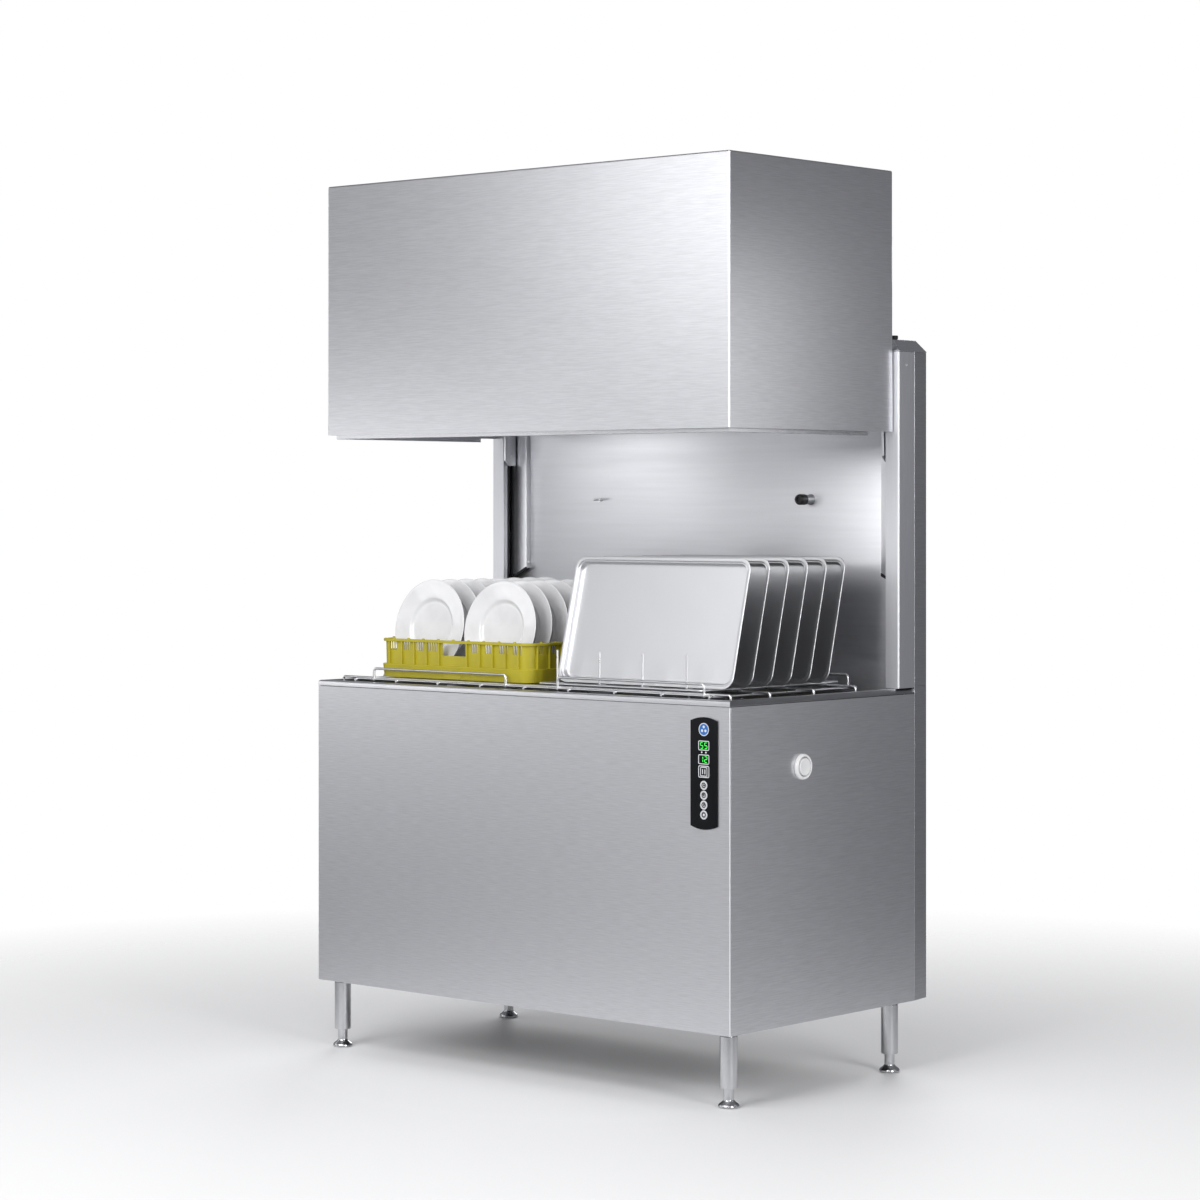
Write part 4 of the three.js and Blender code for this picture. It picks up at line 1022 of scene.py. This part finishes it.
def strainer():
    """A slotted sheet over the tank, with a basin and an opening for the arm's post on each side."""
    low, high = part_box("tank_strainer")
    slot_x, slot_y = 28 * MM, 6 * MM
    basin_y, basin_half, post_half = 0.145, 75 * MM, 30 * MM
    holes_x = [(k + 0.5) * 40 * MM for k in range(-15, 15)]
    holes_y = [low.y + (k + 1) * 15 * MM for k in range(39)]
    wells = [(ARM_X, basin_y, basin_half), (ARM_X, ARM_Y, post_half)]
    us = {low.x, high.x, *[x + s * slot_x / 2 for x in holes_x for s in (-1, 1)]}
    us |= {side * (x + s * half) for side in SIDES.values() for x, _, half in wells for s in (-1, 1)}
    vs = {low.y, high.y, *[y + s * slot_y / 2 for y in holes_y for s in (-1, 1)]}
    vs |= {y + s * half for _, y, half in wells for s in (-1, 1)}

    def solid(x, y):
        in_column = any(abs(x - at) < slot_x / 2 for at in holes_x)
        in_row = any(abs(y - at) < slot_y / 2 for at in holes_y)
        in_well = any(max(abs(abs(x) - at_x), abs(y - at_y)) < half for at_x, at_y, half in wells)
        return not (in_column and in_row) and not in_well

    made = Shape(pierced(sorted(us), sorted(vs), solid, lambda x, y: (x, y, high.z)))
    piece("strainer_plate", made, "tank", "cabinet", ["tank_strainer"], 1.2 * MM)
    floor_z = (low.z - high.z) / MM
    levels = []
    for grow, rise in ((18, 0.4), (-2, 0.4), (-6, -4), (-14, -60), (-20, floor_z + 12), (-30, floor_z + 2)):
        size = 2 * basin_half + grow * MM
        outline = round_rectangle(size, size, 14 * MM, 5)
        levels.append([(x, y, high.z + rise * MM) for x, y in outline])
    grip, z0, z1 = 30 * MM, high.z - 14 * MM, high.z + 14 * MM
    handle = rounded([(-grip, 0, z0), (-grip, 0, z1), (grip, 0, z1), (grip, 0, z0)], 12 * MM)
    for name, side in SIDES.items():
        place = move(side * ARM_X, basin_y, 0)
        piece(f"strainer_basin_{name}", Shape().add(rings(levels), place), "tank", "cabinet", wall=1.2 * MM)
        bow = Shape().add(tube(handle, 2.5 * MM, 10), place)
        piece(f"strainer_handle_{name}", bow, "spray", "cabinet")


def manifold():
    """The rinse pipe that crosses the hood and turns down to each upper arm, with its feed at the back."""
    low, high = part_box("upper_manifold")
    z, pipe = high.z - 29 * MM, 12.8 * MM
    seat, feed_y = low.z + 72 * MM, high.y - 13 * MM
    main = [(-ARM_X, ARM_Y, seat), (-ARM_X, ARM_Y, z), (ARM_X, ARM_Y, z), (ARM_X, ARM_Y, seat)]
    feed = [(0, ARM_Y, z), (0, feed_y, z), (0, feed_y, low.z)]
    made = Shape(tube(rounded(main, 15.5 * MM, 8), pipe, 20), tube(rounded(feed, 26 * MM, 8), pipe, 20))
    bush = lathe([(0, 70.6), (16, 70.6), (16, 84), (13.5, 87), (0, 87)], 28)
    for side in SIDES.values():
        x = side * 0.12
        made.add(block((x - 14 * MM, ARM_Y - 10 * MM, z), (x + 14 * MM, ARM_Y + 10 * MM, high.z)))
        made.add(bush, move(side * ARM_X, ARM_Y, low.z))
    piece("manifold_pipes", made, "spray", "hood", ["upper_manifold"], edge=0.5 * MM)


# ---------- controls ----------
INK = 0.25 * MM  # how far printed marks stand proud
SEGMENTS = {"1": "bc", "2": "abged", "5": "afgcd"}
SEGMENT_PLACES = {
    "a": (0, 1), "g": (0, 0), "d": (0, -1), "f": (-1, 0.5), "b": (1, 0.5), "e": (-1, -0.5), "c": (1, -0.5),
}


def digit(value, height, depth):
    """Seven-segment digit about the origin, in the local x, y plane."""
    made = Shape()
    half, across, half_line = height / 2, height * 0.27, height * 0.065
    for letter in SEGMENTS[value]:
        x, y = SEGMENT_PLACES[letter]
        w, h = (half_line, half * 0.42) if x else (across * 0.8, half_line)
        x, y = x * across, y * half
        made.add(block((x - w, y - h, 0), (x + w, y + h, depth)))
    return made


def disc(radius, height):
    """Profile of a round mark with a slightly smaller top, in millimetres."""
    return [(0, 0), (radius, 0), (radius - 0.2, height), (0, height)]


def circle(radius, line):
    """A printed ring round this radius, in millimetres."""
    ink = INK / MM
    return lathe([(radius, 0), (radius + line, 0), (radius + line, ink), (radius, ink)], 40, closed=True)


def control_panel():
    """Marks printed on the dark panel: a badge of dots, two displays, two lamps and a frame round each key."""
    node = "control_panel"
    face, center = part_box(node)[0].y + 0.05 * MM, middle(node)
    dress(node, "panel", 0.7 * MM)
    stack = center.x + 1 * MM

    def printed(name, part, z, finish="print", x=stack):
        place = move(x, face, z) @ TURN_TO_FRONT
        piece(name, Shape().add(part, place), finish, "cabinet")

    mark_z = center.z + 97 * MM
    radius, spacing = 12.6, 5.6 * MM
    printed("mark_disc", lathe([(0, 0), (radius, 0), (radius, 0.25), (0, 0.25)], 40), mark_z, "badge")
    printed("mark_ring", circle(radius, 1.8), mark_z)
    dots = Shape()
    for k in range(3):
        angle = math.tau * k / 3 + math.pi / 2
        at = move(spacing * math.cos(angle), spacing * math.sin(angle), INK)
        dots.add(lathe(disc(3.1, 0.25), 18), at)
    printed("mark_dots", dots, mark_z)
    wide, tall, line = 31 * MM, 21.5 * MM, 1.7 * MM
    for row, (rise, digits) in enumerate(((61.5, "55"), (31, "12")), 1):
        z = center.z + rise * MM
        printed(f"display_frame_{row}", flat_ring(wide, tall, 3.5 * MM, line, INK), z)
        for k, value in enumerate(digits):
            x = stack + (k - 0.5) * 12 * MM
            printed(f"display_{row}_digit_{k + 1}", digit(value, 12.5 * MM, 1.6 * INK), z, "segment", x)
    menu = flat_ring(wide, tall + 5 * MM, 4 * MM, line, INK)
    printed("menu_frame", menu, middle("menu_key").z)
    for i in range(4):
        node = f"round_key_{i + 1}"
        key_low, key_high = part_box(node)
        edge = (key_high.x - key_low.x) / 2 / MM + 0.3
        printed(f"key_frame_{i + 1}", circle(edge, 1.7), middle(node).z)
    lamp = lathe([(0, 0), (2.1, 0), (1.7, 0.5), (0, 0.6)], 16)
    for name, side in SIDES.items():
        printed(f"lamp_{name}", lamp, center.z + 46.5 * MM, x=stack + side * 6 * MM)


def key_icon(index):
    """A plain symbol for each round key: three arcs and a dot."""
    if index == 3:
        return lathe(disc(3, 0.3), 20)
    span = (1.6, 1.1, 1.35)[index] * math.pi
    start = (0.2, 1.1, 0.6)[index] * math.pi
    angles = [start + span * k / 14 for k in range(15)]
    arc = [(3.1 * MM * math.cos(angle), 3.1 * MM * math.sin(angle), 0) for angle in angles]
    return tube(arc, 0.55 * MM, 8)


def keys():
    for i in range(4):
        node = f"round_key_{i + 1}"
        low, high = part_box(node)
        x, _, z = middle(node)
        radius, deep = (high.x - low.x) / 2 / MM, (high.y - low.y) / MM
        place = move(x, high.y, z) @ TURN_TO_FRONT
        cap = [
            (0, 0), (radius, 0), (radius, deep - 0.5), (radius * 0.95, deep - 0.1),
            (radius * 0.8, deep - 0.15), (0, deep - 0.5),
        ]
        piece(f"key_cap_{i + 1}", Shape().add(lathe(cap, 36), place), "key", node, [node])
        foot, crest = deep - 0.3, deep - 0.02
        line = [(radius * 0.8, foot), (radius * 0.98, foot), (radius * 0.96, crest), (radius * 0.82, crest)]
        marks = Shape().add(lathe(line, 36, closed=True), place)
        marks.add(key_icon(i), move(x, low.y + 0.55 * MM, z) @ TURN_TO_FRONT)
        piece(f"key_ring_{i + 1}", marks, "print", node)
    low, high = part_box("menu_key")
    x, _, z = middle("menu_key")
    size, face = high.x - low.x, low.y + 0.3 * MM
    cap = extruded(round_rectangle(size, size, 3.2 * MM, 5), 0, high.y - face)
    shape = Shape().add(cap, move(x, high.y, z) @ TURN_TO_FRONT)
    piece("menu_cap", shape, "panel", "menu_key", ["menu_key"], edge=0.3 * MM, slot="key")
    marks = Shape(flat_ring(size * 0.96, size * 0.96, 3 * MM, 1.6 * MM, INK))
    for bar in (-3.4 * MM, 3.4 * MM):
        marks.add(block((bar - 1.2 * MM, -5.4 * MM, 0), (bar + 1.2 * MM, 5.4 * MM, INK)))
    piece("menu_print", Shape().add(marks, move(x, face, z) @ TURN_TO_FRONT), "print", "menu_key")


def start_button():
    """A white push button with a dished cap in a rounded ring, on the right side."""
    low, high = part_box("button_ring")
    _, y, z = middle("button_ring")
    radius, tall = (high.z - low.z) / 2 / MM, (high.x - low.x) / MM
    bezel = [
        (0.76, 0), (0.98, 0), (1, 0.8 / tall), (0.99, 0.5), (0.95, 0.82), (0.89, 0.98), (0.84, 1),
        (0.79, 0.94), (0.76, 0.7),
    ]
    turned = lathe([(radius * r, tall * h) for r, h in bezel], 64, closed=True)
    shape = Shape().add(turned, move(low.x, y, z) @ TURN_TO_SIDE)
    piece("button_bezel", shape, "button", "cabinet", ["button_ring"], angle=60)
    low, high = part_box("start_button")
    radius, tall = (high.z - low.z) / 2 / MM, (high.x - low.x) / MM
    cap = [
        (0, 0), (0.93, 0), (0.93, 0.55), (0.9, 0.8), (0.84, 0.86), (0.7, 0.8), (0.4, 0.74), (0, 0.72),
    ]
    turned = lathe([(radius * r, tall * h) for r, h in cap], 64)
    shape = Shape().add(turned, move(low.x, y, z) @ TURN_TO_SIDE)
    piece("button_cap", shape, "button", "start_button", ["start_button"], angle=60)


# ---------- base and inside parts ----------
def feet():
    """Legs with adjustable feet."""
    for place in ("front", "rear"):
        for name in SIDES:
            node = f"foot_{place}_{name}"
            x, y, _ = middle(node)
            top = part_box(node)[1].z / MM
            profile = [
                (0, 0), (22, 0), (24, 1.5), (24, 5), (22, 8), (14, 14), (12, 18), (12, 42), (19, 43),
                (20, 45), (20, top - 8), (18.6, top - 5), (20, top - 3), (20, top), (0, top),
            ]
            shape = Shape().add(lathe(profile), move(x, y, 0))
            piece(f"leg_{place}_{name}", shape, "foot", "cabinet", [node])


def inside_parts():
    """Finishes for the parts that keep their CAD meshes, and the spray arms."""
    for node, finish, edge in (
        ("base_frame", "frame", 1.5 * MM), ("wash_tank", "tank", 1 * MM), ("back_wall", "wall", 0.6 * MM),
        ("pump_body", "cast", 1 * MM), ("pump_impeller", "black", 0.5 * MM), ("rinse_boiler", "tank", 1 * MM),
        ("control_box", "frame", 0.8 * MM), ("lift_motor", "cast", 1 * MM), ("lift_shaft", "foot", 0.3 * MM),
        ("tank_heater", "cast", 0),
    ):
        dress(node, finish, edge)
    for name in SIDES:
        dress(f"lift_belt_{name}", "rubber", 0.3 * MM)
        dress(f"lift_idler_{name}", "foot", 0.3 * MM)
        spray_arm(f"wash_arm_{name}", f"lower_arm_{name}", 1)
        spray_arm(f"rinse_arm_{name}", f"upper_arm_{name}", -1)


# ---------- camera, floor and light ----------
def camera():
    data = bpy.data.cameras.new("camera")
    data.sensor_width = 36
    data.lens = 96.63
    data.shift_y = -0.081
    made = new_object("camera", data)
    made.location = (5.0926, -5.8549, 1.3342)
    made.rotation_euler = (math.pi / 2, 0, math.radians(41.343))
    bpy.context.scene.camera = made


def soft_light(name, at, toward, size, power):
    data = bpy.data.lights.new(name, "AREA")
    data.shape = "RECTANGLE"
    data.size, data.size_y = size
    data.energy = power
    made = new_object(name, data)
    made.location = at
    made.rotation_euler = (Vector(toward) - Vector(at)).to_track_quat("-Z", "Y").to_euler()
    made.visible_camera = False


def surroundings():
    """White to the camera, and a dim even room to everything else."""
    world = bpy.data.worlds.new("studio")
    world.use_nodes = True
    bpy.context.scene.world = world
    nodes, link = world.node_tree.nodes, world.node_tree.links.new
    room = set_sockets(nodes["Background"], Color=(0.92, 0.935, 1.0, 1), Strength=0.18)
    seen = add_node(world, "Background", Color=(1, 1, 1, 1))
    mix = add_node(world, "MixShader")
    link(add_node(world, "LightPath").outputs["Is Camera Ray"], mix.inputs["Fac"])
    link(room.outputs["Background"], mix.inputs[1])
    link(seen.outputs["Background"], mix.inputs[2])
    link(mix.outputs["Shader"], nodes["World Output"].inputs["Surface"])


def floor():
    """A pale floor that fades into the white around it."""
    reach = 14
    corners = [(x * reach, y * reach, -0.5 * MM) for x, y in ((-1, -1), (1, -1), (1, 1), (-1, 1))]
    made = new_object("floor", to_mesh("floor", Shape((corners, [[0, 1, 2, 3]]))))
    pale = finish_of("pale_floor", (0.93, 0.93, 0.935), 0.6)
    link = pale.node_tree.links.new
    length = add_node(pale, "VectorMath")
    length.operation = "LENGTH"
    fade = add_node(pale, "MapRange", From_Min=0.8, From_Max=3, To_Min=1, To_Max=0)
    link(add_node(pale, "TexCoord").outputs["Object"], length.inputs[0])
    link(length.outputs["Value"], fade.inputs["Value"])
    to_shader(pale, fade.outputs["Result"], "Alpha")
    made.data.materials.append(pale)
    made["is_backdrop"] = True


def lights():
    """Cards at three heights that the front and side mirror, and large lamps that fill in all round."""
    near, far, side = (-1.15, -3.1), (-3.0, -2.6), (1.8, 0.75)
    soft_light("near_low", (*near, 0.6), (0.35, -0.375, 0.6), (1.5, 1.2), 2.4)
    soft_light("near_middle", (*near, 1.5), (0.35, -0.375, 1.5), (1.5, 0.8), 1.1)
    soft_light("near_high", (*near, 2.4), (0.35, -0.375, 1.8), (1.5, 1.0), 8.6)
    soft_light("far_low", (*far, 0.6), (-0.2, -0.3, 0.8), (1.8, 1.2), 2.3)
    soft_light("far_middle", (*far, 1.25), (-0.2, -0.3, 1.25), (1.8, 0.6), 6.8)
    soft_light("far_high", (*far, 2.4), (-0.2, -0.3, 1.6), (1.8, 1.0), 0.8)
    soft_light("side_low", (*side, 0.6), (0.65, -0.3, 0.6), (0.6, 1.2), 0.5)
    soft_light("side_middle", (*side, 1.6), (0.65, -0.3, 1.6), (0.6, 0.8), 1.6)
    soft_light("front", (0.6, -4.6, 2.6), (0, -0.2, 1.1), (2, 2), 95)
    soft_light("front_top", (0.2, -2.6, 3.6), (0, -0.2, 1.2), (3, 1.4), 40)
    soft_light("left_fill", (-4.5, -1.2, 2.4), (0, -0.1, 1.1), (2, 2), 11)
    soft_light("right_fill", (3.2, -4.2, 2.6), (0, -0.2, 1.1), (2.2, 2.2), 26)
    soft_light("side_fill", (5.4, -1.5, 2.2), (0.65, -0.1, 1.0), (1.6, 2.4), 110)
    soft_light("behind", (-2.2, 3.6, 2.2), (0, 0.375, 1.2), (2.5, 2.5), 60)


scene = bpy.context.scene
scene.view_settings.view_transform = "Standard"
scene.view_settings.look = "None"

camera()
surroundings()
floor()
lights()

front_and_sides()
deck_lip()
rear_covers()
columns()
rails()
splash_guards()
peg_and_probe()
rack_track()
tray_insert()
trays()
dish_rack()
plates()
hood()
hood_brackets()
strainer()
manifold()
control_panel()
keys()
start_button()
feet()
inside_parts()
shade_evenly()

boxes = [[list(corner) for corner in box] for box in (CAD_BOX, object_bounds())]
